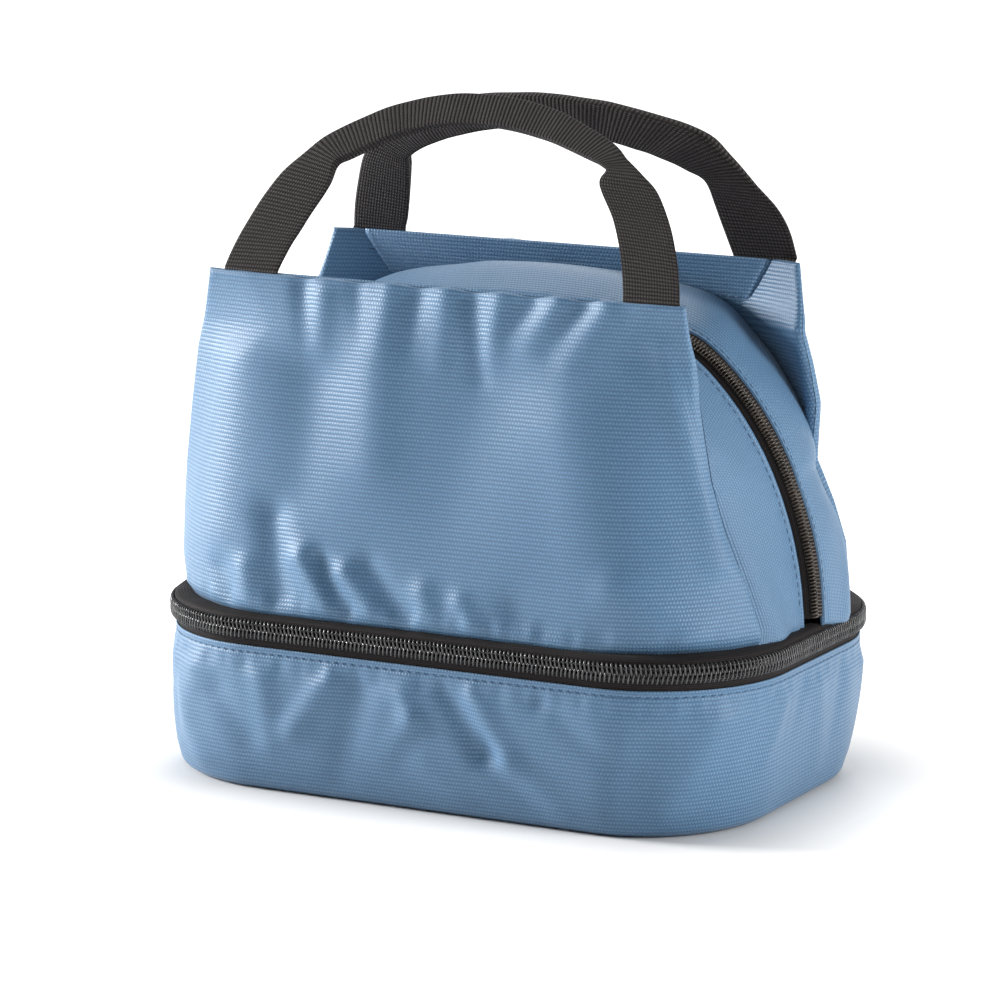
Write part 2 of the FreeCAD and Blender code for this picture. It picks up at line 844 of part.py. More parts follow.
# ---------------------------------------------------------------- the bag


def check_all():
    """Stops if any object failed, and returns each node's shape by name."""
    for item in document.Objects:
        if {"Invalid", "Error"} & set(item.State):
            raise RuntimeError(f"{item.Label} ({item.Name}) failed: {item.State}")
    shapes = {}
    for node in nodes:
        if node.Shape.isNull() or not node.Shape.isValid() or node.Shape.Volume <= 0:
            raise RuntimeError(f"{node.Label} has no sound shape")
        shapes[node.Label] = node.Shape
    return shapes


base_pieces()
rim_zip()
divider_pieces()
for half_name in ("front", "rear"):
    panel_pieces(half_name)
    dome_pieces(half_name)
    strap_ends(half_name)
    handle(half_name)
for zip_name, frame in (("base", base_slider_frame()), ("dome", dome_slider_frame())):
    slider(f"{zip_name}_zip_slider", frame)
    pull_tab(f"{zip_name}_zip_pull", frame)
document.recompute()

os.makedirs("parts", exist_ok=True)
for name, shape in check_all().items():
    shape.exportStep(f"parts/{name}.step")
    box_of = shape.BoundBox
    print(
        f"{name}: {len(shape.Solids)} solid, {shape.Volume:.0f} mm3, "
        f"x {box_of.XMin:.1f}..{box_of.XMax:.1f} y {box_of.YMin:.1f}..{box_of.YMax:.1f} "
        f"z {box_of.ZMin:.1f}..{box_of.ZMax:.1f}"
    )
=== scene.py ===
"""Visual model of a soft insulated lunch bag with a zipped base and a domed upper part.

Every length in the classes is in millimetres; meshes are written in metres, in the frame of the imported
model: +X right, +Y rear, +Z up, origin on the floor under the middle of the base.
"""
import logging
import math
from dataclasses import dataclass, field, replace
from enum import Enum

import bmesh
import bpy
import numpy as np
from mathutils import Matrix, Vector


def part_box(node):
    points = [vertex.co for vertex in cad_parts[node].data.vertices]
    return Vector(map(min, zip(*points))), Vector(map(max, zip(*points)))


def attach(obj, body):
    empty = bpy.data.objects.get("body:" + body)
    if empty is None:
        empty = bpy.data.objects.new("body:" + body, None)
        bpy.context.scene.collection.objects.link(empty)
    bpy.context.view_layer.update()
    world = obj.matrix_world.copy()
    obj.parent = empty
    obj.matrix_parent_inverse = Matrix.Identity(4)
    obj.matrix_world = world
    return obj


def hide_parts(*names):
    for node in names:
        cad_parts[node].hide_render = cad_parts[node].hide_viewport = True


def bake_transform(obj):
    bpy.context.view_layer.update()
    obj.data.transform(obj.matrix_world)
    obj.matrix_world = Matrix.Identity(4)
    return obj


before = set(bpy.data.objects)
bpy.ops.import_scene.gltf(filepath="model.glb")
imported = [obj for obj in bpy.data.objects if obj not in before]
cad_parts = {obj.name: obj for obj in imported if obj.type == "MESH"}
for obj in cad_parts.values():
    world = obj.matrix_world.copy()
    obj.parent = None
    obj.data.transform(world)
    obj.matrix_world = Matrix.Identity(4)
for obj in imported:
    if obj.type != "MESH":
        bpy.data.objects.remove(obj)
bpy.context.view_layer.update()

MM = 0.001
CLOTH_MAP = "cloth"
log = logging.getLogger("lunch_bag")

Colour = tuple[float, float, float]
Profile = list[tuple[float, float]]


class Side(Enum):
    """The two halves of the upper part."""

    FRONT = "front"
    REAR = "rear"

    @property
    def toward(self) -> float:
        """Sign of Y on this half."""
        return -1.0 if self is Side.FRONT else 1.0

    @property
    def body(self) -> str:
        """Name of the moving body of this half."""
        return f"{self.value}_half"


class Slot(Enum):
    """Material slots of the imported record."""

    SHELL = "shell_cloth"
    FOAM = "foam"
    LINING = "lining"
    TAPE = "zip_tape"
    TEETH = "zip_teeth"
    WEBBING = "webbing"
    METAL = "slider_metal"


# ---------------------------------------------------------------- finishes


class Recipe:
    """A material under construction, with short calls for its nodes."""

    def __init__(self, name: str) -> None:
        """Start an empty material that ends in one Principled shader."""
        self.material = bpy.data.materials.new(name)
        self.material.use_nodes = True
        self.tree = self.material.node_tree
        self.shader = self.tree.nodes["Principled BSDF"]

    def node(self, kind: str, **settings: object) -> bpy.types.Node:
        """Add a node and set its properties.

        Args:
            kind: the node's type name.
            settings: properties of the node itself.

        Returns:
            The new node.
        """
        made = self.tree.nodes.new(kind)
        for name, value in settings.items():
            setattr(made, name, value)
        return made

    def feed(self, socket: bpy.types.NodeSocket, value: object) -> None:
        """Link a socket, or set its constant.

        Args:
            socket: the input to fill.
            value: another node's output, or a plain value.
        """
        if isinstance(value, bpy.types.NodeSocket):
            self.tree.links.new(value, socket)
        else:
            socket.default_value = value

    def math(self, operation: str, first: object, second: object = 0.0) -> bpy.types.NodeSocket:
        """Add one Math node.

        Args:
            operation: the operation's name.
            first: first operand, a socket or a number.
            second: second operand.

        Returns:
            The result's socket.
        """
        made = self.node("ShaderNodeMath", operation=operation)
        self.feed(made.inputs[0], first)
        self.feed(made.inputs[1], second)
        return made.outputs[0]

    def noise(self, vector: object, scale: float, detail: float = 2.0) -> bpy.types.NodeSocket:
        """Add a noise texture and return its grey output.

        Args:
            vector: where the noise is read.
            scale: cells per metre.
            detail: octaves.

        Returns:
            The noise's factor socket.
        """
        made = self.node("ShaderNodeTexNoise")
        self.feed(made.inputs["Vector"], vector)
        made.inputs["Scale"].default_value = scale
        made.inputs["Detail"].default_value = detail
        return made.outputs[0]

    def ramp(self, factor: object, stops: list[tuple[float, Colour]]) -> bpy.types.NodeSocket:
        """Add a colour ramp.

        Args:
            factor: the grey value that runs along the ramp.
            stops: places along the ramp with their colours.

        Returns:
            The ramp's colour socket.
        """
        made = self.node("ShaderNodeValToRGB")
        self.feed(made.inputs[0], factor)
        band = made.color_ramp.elements
        while len(band) < len(stops):
            band.new(0.5)
        for mark, (place, colour) in zip(band, stops):
            mark.position = place
            mark.color = (*colour, 1.0)
        return made.outputs[0]

    def relief(self, height: object, distance: float, strength: float = 1.0) -> None:
        """Bend the shading by a height.

        Args:
            height: grey height, 0 to 1.
            distance: how high 1 stands, in millimetres.
            strength: share of the effect.
        """
        bump = self.node("ShaderNodeBump")
        bump.inputs["Distance"].default_value = distance * MM
        bump.inputs["Strength"].default_value = strength
        self.feed(bump.inputs["Height"], height)
        self.feed(self.shader.inputs["Normal"], bump.outputs[0])

    def settle(self, **constants: float) -> bpy.types.Material:
        """Set constants on the shader's own sockets and return the material."""
        for name, value in constants.items():
            self.shader.inputs[name.replace("_", " ")].default_value = value
        return self.material


@dataclass(frozen=True)
class Weave:
    """A woven finish whose yarns follow the cloth's own map."""

    name: str
    # The darkest colour is painted shade in the gaps between yarns, the lightest a painted highlight on the
    # yarn tops.
    gap_shade: Colour
    face: Colour
    yarn_top_highlight: Colour
    row_pitch: float
    dot_pitch: float
    relief: float
    roughness: float
    sheen: float
    row_share: float = 0.55
    staggered: bool = True
    contrast: float = 0.8
    gloss: float = 0.42

    def build(self) -> bpy.types.Material:
        """Make the material.

        Returns:
            A material with rows of yarn, dots along them, painted shade in the gaps between yarns, a painted
            highlight on the yarn tops, and slow changes of tone.
        """
        recipe = Recipe(self.name)
        chart = recipe.node("ShaderNodeUVMap", uv_map=CLOTH_MAP)
        parts = recipe.node("ShaderNodeSeparateXYZ")
        recipe.feed(parts.inputs[0], chart.outputs[0])
        wander = recipe.noise(chart.outputs[0], 260.0, 1.0)
        drift = recipe.math("MULTIPLY", recipe.math("SUBTRACT", wander, 0.5), 0.00035)
        across = recipe.math("ADD", parts.outputs[0], drift)
        up = recipe.math("ADD", parts.outputs[1], drift)
        row = recipe.math("DIVIDE", up, self.row_pitch * MM)
        dot = recipe.math("DIVIDE", across, self.dot_pitch * MM)
        if self.staggered:
            dot = recipe.math("ADD", dot, recipe.math("MULTIPLY", recipe.math("FLOOR", row), 0.5))
        row_wave = self.wave(recipe, row)
        dot_wave = self.wave(recipe, dot)
        rows = recipe.math("POWER", row_wave, 0.7)
        dots = recipe.math("MULTIPLY", dot_wave, rows)
        yarn = recipe.math(
            "ADD",
            recipe.math("MULTIPLY", rows, self.row_share),
            recipe.math("MULTIPLY", dots, 1.0 - self.row_share),
        )
        place = recipe.node("ShaderNodeTexCoord")
        slow = recipe.noise(place.outputs["Object"], 22.0, 3.0)
        speck = recipe.noise(chart.outputs[0], 900.0, 1.0)
        tone = recipe.math("ADD", recipe.math("MULTIPLY", slow, 0.16), recipe.math("MULTIPLY", speck, 0.24))
        # Painted shade and highlight: the colour ramp follows the yarn height on top of the bump, from the
        # darkest stop between yarns to the lightest on their tops; contrast sets how much, and the noise tone
        # adds random variation.
        lit = recipe.math("ADD", recipe.math("MULTIPLY", yarn, self.contrast), 0.4 * (1.0 - self.contrast))
        shade = recipe.math("ADD", lit, recipe.math("SUBTRACT", tone, 0.16))
        stops = [(0.05, self.gap_shade), (0.5, self.face), (0.95, self.yarn_top_highlight)]
        recipe.feed(recipe.shader.inputs["Base Color"], recipe.ramp(shade, stops))
        rough = recipe.math("SUBTRACT", self.roughness + 0.1, recipe.math("MULTIPLY", yarn, 0.16))
        recipe.feed(recipe.shader.inputs["Roughness"], rough)
        recipe.relief(yarn, self.relief)
        return recipe.settle(Sheen_Weight=self.sheen, Sheen_Roughness=0.45, Specular_IOR_Level=self.gloss)

    @staticmethod
    def wave(recipe: Recipe, turns: object) -> bpy.types.NodeSocket:
        """A wave between 0 and 1 that repeats at each whole turn.

        Args:
            recipe: the material being made.
            turns: how far along, in turns.

        Returns:
            The wave's socket.
        """
        swing = recipe.math("SINE", recipe.math("MULTIPLY", turns, math.tau))
        return recipe.math("ADD", recipe.math("MULTIPLY", swing, 0.5), 0.5)


@dataclass(frozen=True)
class Smooth:
    """A moulded, coated or spun finish with a fine grain."""

    name: str
    dark: Colour
    light: Colour
    grain: float
    relief: float
    roughness: float
    metallic: float = 0.0
    coat: float = 0.0

    def build(self) -> bpy.types.Material:
        """Make the material.

        Returns:
            A material with mottled tone, uneven gloss and a fine relief.
        """
        recipe = Recipe(self.name)
        place = recipe.node("ShaderNodeTexCoord")
        mottle = recipe.noise(place.outputs["Object"], self.grain, 3.0)
        slow = recipe.noise(place.outputs["Object"], self.grain / 9.0, 2.0)
        blend = recipe.math("ADD", recipe.math("MULTIPLY", mottle, 0.6), recipe.math("MULTIPLY", slow, 0.4))
        tones = [(0.3, self.dark), (0.7, self.light)]
        recipe.feed(recipe.shader.inputs["Base Color"], recipe.ramp(blend, tones))
        rough = recipe.math("ADD", self.roughness - 0.08, recipe.math("MULTIPLY", blend, 0.16))
        recipe.feed(recipe.shader.inputs["Roughness"], rough)
        recipe.relief(mottle, self.relief)
        return recipe.settle(Metallic=self.metallic, Coat_Weight=self.coat, Coat_Roughness=0.2)


class Finishes:
    """All finishes of the bag, made once."""

    def __init__(self) -> None:
        """Build each material."""
        self.shell = Weave(
            "steel_blue_ribbed_cloth",
            gap_shade=(0.034, 0.082, 0.153),
            face=(0.079, 0.170, 0.290),
            yarn_top_highlight=(0.175, 0.31, 0.45),
            row_pitch=1.6,
            dot_pitch=1.3,
            relief=0.16,
            roughness=0.42,
            sheen=0.1,
            row_share=0.3,
            contrast=0.42,
        ).build()
        self.lining = Weave(
            "pale_grey_lining",
            gap_shade=(0.36, 0.37, 0.38),
            face=(0.50, 0.51, 0.52),
            yarn_top_highlight=(0.62, 0.63, 0.64),
            row_pitch=0.9,
            dot_pitch=0.9,
            relief=0.04,
            roughness=0.36,
            sheen=0.0,
        ).build()
        self.webbing = Weave(
            "charcoal_webbing",
            gap_shade=(0.004, 0.003, 0.003),
            face=(0.019, 0.0155, 0.0155),
            yarn_top_highlight=(0.060, 0.050, 0.049),
            row_pitch=1.6,
            dot_pitch=1.25,
            relief=0.45,
            roughness=0.66,
            sheen=0.03,
            row_share=0.4,
            staggered=False,
            gloss=0.16,
        ).build()
        self.tape = Weave(
            "black_zip_tape",
            gap_shade=(0.004, 0.003, 0.003),
            face=(0.010, 0.008, 0.008),
            yarn_top_highlight=(0.024, 0.020, 0.019),
            row_pitch=0.8,
            dot_pitch=0.6,
            relief=0.08,
            roughness=0.68,
            sheen=0.02,
            gloss=0.14,
        ).build()
        self.coil = Smooth(
            "dark_coil_nylon",
            dark=(0.018, 0.018, 0.019),
            light=(0.075, 0.075, 0.078),
            grain=900.0,
            relief=0.01,
            roughness=0.24,
        ).build()
        self.bronze_coil = Smooth(
            "bronze_coil_nylon",
            dark=(0.012, 0.010, 0.008),
            light=(0.075, 0.056, 0.041),
            grain=700.0,
            relief=0.01,
            roughness=0.28,
        ).build()
        self.metal = Smooth(
            "black_nickel_slider",
            dark=(0.045, 0.045, 0.047),
            light=(0.085, 0.085, 0.09),
            grain=500.0,
            relief=0.01,
            roughness=0.3,
            metallic=0.9,
            coat=0.2,
        ).build()
        self.foam = Smooth(
            "grey_foam",
            dark=(0.42, 0.42, 0.43),
            light=(0.56, 0.56, 0.57),
            grain=1400.0,
            relief=0.2,
            roughness=0.85,
        ).build()
        self.thread = Smooth(
            "blue_thread",
            dark=(0.030, 0.070, 0.135),
            light=(0.085, 0.165, 0.28),
            grain=1500.0,
            relief=0.05,
            roughness=0.5,
        ).build()
        self.black_thread = Smooth(
            "black_thread",
            dark=(0.006, 0.006, 0.006),
            light=(0.03, 0.028, 0.027),
            grain=1500.0,
            relief=0.05,
            roughness=0.5,
        ).build()


# ---------------------------------------------------------------- meshes


def write_mesh(
    name: str, points: np.ndarray, faces: np.ndarray, chart: np.ndarray | None = None
) -> bpy.types.Object:
    """Make a smooth object from corners in millimetres.

    Args:
        name: the piece's name.
        points: corners, one per row.
        faces: corner numbers, four (or three) per row.
        chart: cloth coordinates in millimetres for each face corner, in face order.

    Returns:
        The new object, linked to the scene.
    """
    mesh = bpy.data.meshes.new(name)
    mesh.from_pydata((np.asarray(points) * MM).tolist(), [], np.asarray(faces).tolist())
    layer = mesh.uv_layers.new(name=CLOTH_MAP)
    if chart is not None:
        layer.data.foreach_set("uv", (np.asarray(chart) * MM).astype(np.float32).ravel())
    mesh.polygons.foreach_set("use_smooth", np.ones(len(mesh.polygons), bool))
    mesh.update()
    made = bpy.data.objects.new(name, mesh)
    bpy.context.scene.collection.objects.link(made)
    return made


def grid_piece(
    name: str, grid: np.ndarray, chart: np.ndarray, round_columns: bool = False, round_rows: bool = False
) -> bpy.types.Object:
    """Make an object from a grid of points.

    Args:
        name: the piece's name.
        grid: rows x columns x 3, in millimetres.
        chart: cloth coordinates, one more row or column than the grid where that way closes.
        round_columns: the last column joins the first.
        round_rows: the last row joins the first.

    Returns:
        The new object.
    """
    rows, columns = grid.shape[:2]
    row = np.arange(rows if round_rows else rows - 1)
    column = np.arange(columns if round_columns else columns - 1)
    near_row, near_column = [a.ravel() for a in np.meshgrid(row, column, indexing="ij")]
    corners = [(0, 0), (0, 1), (1, 1), (1, 0)]
    faces = np.stack(
        [((near_row + r) % rows) * columns + (near_column + c) % columns for r, c in corners], axis=1
    )
    corner_chart = np.stack([chart[near_row + r, near_column + c] for r, c in corners], axis=1)
    return write_mesh(name, grid.reshape(-1, 3), faces, corner_chart.reshape(-1, 2))


def grid_chart(grid: np.ndarray, round_columns: bool = False, round_rows: bool = False) -> np.ndarray:
    """Measure a grid along its middle row and middle column.

    Args:
        grid: rows x columns x 3.
        round_columns: the columns close on themselves.
        round_rows: the rows close on themselves.

    Returns:
        Cloth coordinates of each grid point.
    """
    middle_row = grid[grid.shape[0] // 2]
    middle_column = grid[:, grid.shape[1] // 2]
    if round_columns:
        middle_row = np.concatenate([middle_row, middle_row[:1]])
    if round_rows:
        middle_column = np.concatenate([middle_column, middle_column[:1]])
    across, up = run_length(middle_row), run_length(middle_column)
    return np.stack(np.meshgrid(across, up), axis=-1)


def run_length(points: np.ndarray) -> np.ndarray:
    """Distance along a line of points, starting at 0."""
    steps = np.linalg.norm(np.diff(points, axis=0), axis=1)
    return np.concatenate([[0.0], np.cumsum(steps)])


def respaced(points: np.ndarray, step: float, closed: bool = False) -> np.ndarray:
    """Space points evenly along a line.

    Args:
        points: the line's points.
        step: wanted distance between neighbours.
        closed: the line returns to its start, which isn't repeated.

    Returns:
        The evenly spaced points.
    """
    line = np.concatenate([points, points[:1]]) if closed else points
    far = run_length(line)
    count = max(int(round(far[-1] / step)), 2)
    marks = np.linspace(0.0, far[-1], count + 1)
    marks = marks[:-1] if closed else marks
    return np.stack([np.interp(marks, far, line[:, axis]) for axis in range(line.shape[1])], axis=1)


def smooth_line(stations: np.ndarray, count: int) -> np.ndarray:
    """A smooth line through a few stations.

    Args:
        stations: the stations, one per row, with any number of values each.
        count: how many points to make between neighbours.

    Returns:
        Points on the line, stations included.
    """
    padded = np.concatenate([2 * stations[:1] - stations[1:2], stations, 2 * stations[-1:] - stations[-2:-1]])
    pieces = []
    for place in range(1, len(padded) - 2):
        before, start, end, after = padded[place - 1 : place + 3]
        t = np.linspace(0.0, 1.0, count, endpoint=False)[:, None]
        curve = 2 * start + (end - before) * t + (2 * before - 5 * start + 4 * end - after) * t**2
        pieces.append(0.5 * (curve + (3 * start - before - 3 * end + after) * t**3))
    pieces.append(stations[-1:])
    return np.concatenate(pieces)


def unit(vectors: np.ndarray) -> np.ndarray:
    """The same directions with length 1."""
    return vectors / np.maximum(np.linalg.norm(vectors, axis=-1, keepdims=True), 1e-9)


def tangents(points: np.ndarray, closed: bool = False) -> np.ndarray:
    """Directions along a line of points."""
    if closed:
        return unit(np.roll(points, -1, axis=0) - np.roll(points, 1, axis=0))
    return unit(np.gradient(points, axis=0))


def surface_normals(grid: np.ndarray, outward: np.ndarray) -> np.ndarray:
    """Normals of a grid, all on the side of a given direction.

    Args:
        grid: rows x columns x 3.
        outward: a direction, or one for each point.

    Returns:
        Unit normals, rows x columns x 3.
    """
    normal = unit(np.cross(np.gradient(grid, axis=1), np.gradient(grid, axis=0)))
    sign = np.sign((normal * outward).sum(axis=-1, keepdims=True))
    return normal * np.where(sign == 0, 1.0, sign)


def thicken(piece: bpy.types.Object, thickness: float, inward: float = -1.0) -> bpy.types.Object:
    """Give a sheet its thickness with a Solidify modifier.

    Args:
        piece: the sheet.
        thickness: in millimetres.
        inward: -1 grows against the normals, 1 along them.

    Returns:
        The same piece.
    """
    solid = piece.modifiers.new("thickness", "SOLIDIFY")
    solid.thickness = thickness * MM
    solid.offset = inward
    return piece


def freeze(piece: bpy.types.Object) -> bpy.types.Object:
    """Apply a piece's modifiers."""
    graph = bpy.context.evaluated_depsgraph_get()
    final = bpy.data.meshes.new_from_object(piece.evaluated_get(graph))
    piece.modifiers.clear()
    piece.data = final
    return piece


def close_skin(outer: np.ndarray, inner: np.ndarray) -> tuple[np.ndarray, np.ndarray]:
    """Join two matching grids into one closed skin, as rows around a tube.

    Args:
        outer: rows x columns x 3.
        inner: the same, on the other side.

    Returns:
        A grid whose rows run over the outer face and back over the inner one, and its chart.
    """
    ring = np.concatenate([outer, inner[::-1]], axis=0)
    edge = (outer + inner) / 2
    start, end = edge[:, :1], edge[:, -1:]
    start_ring = np.concatenate([start, start[::-1]], axis=0)
    end_ring = np.concatenate([end, end[::-1]], axis=0)
    grid = np.concatenate([start_ring, ring, end_ring], axis=1)
    return grid, grid_chart(grid, round_rows=True)


@dataclass(frozen=True)
class Fold:
    """A soft ridge or valley in cloth, between two places on its face."""

    start: tuple[float, float]
    end: tuple[float, float]
    width: float
    rise: float
    tail: float = 0.35

    def lift(self, across: np.ndarray, up: np.ndarray) -> np.ndarray:
        """Height of the fold over the cloth.

        Args:
            across: places across the cloth, in millimetres.
            up: places up the cloth.

        Returns:
            Height at each place.
        """
        run = np.subtract(self.end, self.start)
        reach = max(float(run @ run), 1e-6)
        share = np.clip(((across - self.start[0]) * run[0] + (up - self.start[1]) * run[1]) / reach, 0.0, 1.0)
        away = np.hypot(across - self.start[0] - share * run[0], up - self.start[1] - share * run[1])
        return self.rise * (1.0 - (1.0 - self.tail) * share) * np.exp(-((away / self.width) ** 2))

    def again(self, stretch: float, shift: float, strength: float) -> "Fold":
        """The same fold at another place across the cloth.

        Args:
            stretch: factor on its places across.
            shift: distance added to them, in millimetres.
            strength: factor on its rise.

        Returns:
            The new fold.
        """
        start = (self.start[0] * stretch + shift, self.start[1])
        end = (self.end[0] * stretch + shift, self.end[1])
        return Fold(start, end, self.width, self.rise * strength, self.tail)


def folded(folds: list[Fold], across: np.ndarray, up: np.ndarray) -> np.ndarray:
    """Sum of many folds."""
    total = np.zeros(np.broadcast(across, up).shape)
    for fold in folds:
        total = total + fold.lift(across, up)
    return total


def ripple(across: np.ndarray, pitch: float, seed: float) -> np.ndarray:
    """Uneven puckers along a seam, between -1 and 1.

    Args:
        across: distance along the seam.
        pitch: usual distance between puckers.
        seed: shifts the pattern.

    Returns:
        The pucker's height share at each place.
    """
    turn = math.tau / pitch
    wave = np.sin(across * turn + seed) + 0.6 * np.sin(across * turn * 0.53 + 2.1 * seed)
    return (wave + 0.5 * np.sin(across * turn * 1.71 + 0.7 * seed)) / 2.1


@dataclass(frozen=True)
class RoundedOutline:
    """A rectangle with round corners, walked anticlockwise from the middle of the front."""

    width: float
    depth: float
    radius: float

    def walk(self, stations: np.ndarray) -> tuple[np.ndarray, np.ndarray]:
        """Places and outward directions at stations.

        Args:
            stations: 0 to 8. Whole numbers are where straights and corners meet: 0 to 1 is the right
                half of the front, 1 to 2 the front right corner, and so on, with 8 back at 0.

        Returns:
            Points and unit normals, each n x 2.
        """
        half_x, half_y = self.width / 2 - self.radius, self.depth / 2 - self.radius
        quarter = math.pi / 2
        points, normals = np.zeros((len(stations), 2)), np.zeros((len(stations), 2))
        corners = np.array([(half_x, -half_y), (half_x, half_y), (-half_x, half_y), (-half_x, -half_y)])
        for place, station in enumerate(np.asarray(stations) % 8.0):
            side, share = int(station // 2), station % 2.0
            angle = -quarter + side * quarter + quarter * np.clip(share - 0.5, 0.0, 1.0)
            centre = corners[side]
            normal = np.array([math.cos(angle), math.sin(angle)])
            if share < 0.5:
                along = np.array([-normal[1], normal[0]])
                centre = centre - along * ((half_x, half_y)[side % 2]) * (1.0 - share / 0.5)
            elif share > 1.5:
                along = np.array([-normal[1], normal[0]])
                centre = centre + along * ((half_y, half_x)[side % 2]) * (share - 1.5) / 0.5
            points[place] = centre + self.radius * normal
            normals[place] = normal
        return points, normals

    def even_stations(self, step: float) -> np.ndarray:
        """Stations evenly spaced along the outline.

        Args:
            step: distance between neighbours.

        Returns:
            Stations from 0 up to just before 8.
        """
        fine = np.linspace(0.0, 8.0, 4001)
        points, _ = self.walk(fine)
        far = run_length(points)
        far[-1] = far[-2] + np.linalg.norm(points[0] - points[-2])
        count = int(round(far[-1] / step))
        return np.interp(np.arange(count) * far[-1] / count, far, fine)


def ring_grid(outline: RoundedOutline, stations: np.ndarray, profile: Profile) -> np.ndarray:
    """Sweep a profile round an outline.

    Args:
        outline: the path.
        stations: where along it.
        profile: (distance outward, height) of each row.

    Returns:
        Rows x stations x 3.
    """
    points, normals = outline.walk(stations)
    rows = []
    for out, high in profile:
        flat = points + normals * out
        rows.append(np.column_stack([flat, np.full(len(flat), high)]))
    return np.stack(rows)


def drawn_in(row: np.ndarray, share: float, high: float) -> np.ndarray:
    """The same row drawn in towards the middle at a level."""
    return np.column_stack([row[:, :2] * share, np.full(len(row), high)])


def swept_piece(name: str, grid: np.ndarray, round_rows: bool = True) -> bpy.types.Object:
    """A closed band whose profile rows run round a closed path."""
    chart = grid_chart(grid, round_columns=True, round_rows=round_rows)
    piece = grid_piece(name, grid, chart, round_columns=True, round_rows=round_rows)
    return face_out(piece) if round_rows else piece


# One stitch: share of its length, share of its thickness, lift in twice its thickness.
STITCH_SHAPE = [
    (0.0, 0.02, -0.25),
    (0.12, 0.75, 0.02),
    (0.5, 1.0, 0.16),
    (0.88, 0.75, 0.02),
    (1.0, 0.02, -0.25),
]


@dataclass(frozen=True)
class StitchRun:
    """A row of machine stitches."""

    length: float = 2.5
    gap: float = 0.9
    thick: float = 0.42
    sides: int = 6

    def build(
        self, name: str, line: np.ndarray, normals: np.ndarray, closed: bool = False
    ) -> bpy.types.Object:
        """Lay stitches along a line.

        Args:
            name: the piece's name.
            line: the seam's points.
            normals: the cloth's outward direction at each point.
            closed: the seam returns to its start.

        Returns:
            One object with every stitch.
        """
        path = np.concatenate([line, line[:1]]) if closed else line
        facing = np.concatenate([normals, normals[:1]]) if closed else normals
        far = run_length(path)
        count = int(far[-1] // (self.length + self.gap))
        shares = np.array([mark[0] for mark in STITCH_SHAPE])
        begin = np.arange(count)[:, None] * (far[-1] / count) + shares[None, :] * self.length
        at = np.stack([np.interp(begin, far, path[:, axis]) for axis in range(3)], axis=-1)
        out = unit(np.stack([np.interp(begin, far, facing[:, axis]) for axis in range(3)], axis=-1))
        along = unit(at[:, -1:] - at[:, :1])
        across = unit(np.cross(out, along))
        turn = np.arange(self.sides) * math.tau / self.sides
        swell = np.array([mark[1] for mark in STITCH_SHAPE])[None, :, None, None] * self.thick / 2
        lift = np.array([mark[2] for mark in STITCH_SHAPE])[None, :, None] * self.thick * 2
        sideways = across[:, :, None] * np.cos(turn)[None, None, :, None]
        around = sideways + out[:, :, None] * np.sin(turn)[None, None, :, None]
        points = (at + out * lift)[:, :, None] + around * swell
        rings = len(STITCH_SHAPE)
        base = np.arange(count)[:, None, None] * rings * self.sides
        ring = np.arange(rings - 1)[None, :, None] * self.sides
        side = np.arange(self.sides)[None, None, :]
        after = (side + 1) % self.sides
        near = base + ring
        ahead = near + self.sides
        faces = np.stack([near + side, near + after, ahead + after, ahead + side], axis=-1)
        return write_mesh(name, points.reshape(-1, 3), faces.reshape(-1, 4))


@dataclass(frozen=True)
class CoilHalf:
    """One half of a coil zip: a flattened spiral of nylon with thicker heads at the join."""

    pitch: float
    width: float
    depth: float
    wire: float
    phase: float
    steps: int = 10
    sides: int = 5

    def build(
        self, name: str, line: np.ndarray, outward: np.ndarray, away: np.ndarray, closed: bool = False
    ) -> bpy.types.Object:
        """Wind the spiral along a line.

        Args:
            name: the piece's name.
            line: the join's line, where the heads meet.
            outward: direction out of the face of the zip, at each point.
            away: direction from the join to this half's tape, at each point.
            closed: the line returns to its start.

        Returns:
            The coil as one object.
        """
        path = np.concatenate([line, line[:1]]) if closed else line
        far = run_length(path)
        turns = int(far[-1] // self.pitch)
        angle = np.arange(turns * self.steps + 1) / self.steps * math.tau
        along = (angle / math.tau + self.phase) * far[-1] / turns
        along = along % far[-1] if closed else np.clip(along, 0.0, far[-1])
        fields = []
        for values in (line, outward, away):
            values = np.concatenate([values, values[:1]]) if closed else values
            fields.append(np.stack([np.interp(along, far, values[:, axis]) for axis in range(3)], axis=1))
        centre, out, side = fields[0], unit(fields[1]), unit(fields[2])
        head = 0.5 - 0.5 * np.cos(angle)
        spread = self.width * (1.0 - head) - 0.45 * head
        wind = centre + side * spread[:, None] + out * (self.depth / 2 * (1.0 + np.sin(angle)))[:, None]
        wire = self.wire * (1.0 + 0.45 * head**4)
        return tube(name, wind, wire, self.sides)


def tube(name: str, line: np.ndarray, radius: np.ndarray | float, sides: int) -> bpy.types.Object:
    """A round tube along a line of points.

    Args:
        name: the piece's name.
        line: the tube's middle.
        radius: one radius, or one for each point.
        sides: how many flats round it.

    Returns:
        The tube, closed at both ends.
    """
    ahead = tangents(line)
    frame_across = np.zeros_like(line)
    across = unit(np.cross(ahead[0], [0.31, 0.17, 0.93]))
    for place, direction in enumerate(ahead):
        across = across - direction * float(across @ direction)
        across = across / max(float(np.linalg.norm(across)), 1e-9)
        frame_across[place] = across
    other = np.cross(ahead, frame_across)
    turn = np.arange(sides) * math.tau / sides
    radius = np.broadcast_to(np.asarray(radius, float), len(line))
    rings = line[:, None] + radius[:, None, None] * (
        frame_across[:, None] * np.cos(turn)[None, :, None] + other[:, None] * np.sin(turn)[None, :, None]
    )
    start_ring = np.repeat(line[:1, None], sides, axis=1)
    end_ring = np.repeat(line[-1:, None], sides, axis=1)
    rings = np.concatenate([start_ring, rings, end_ring])
    return grid_piece(name, rings, grid_chart(rings, round_columns=True), round_columns=True)


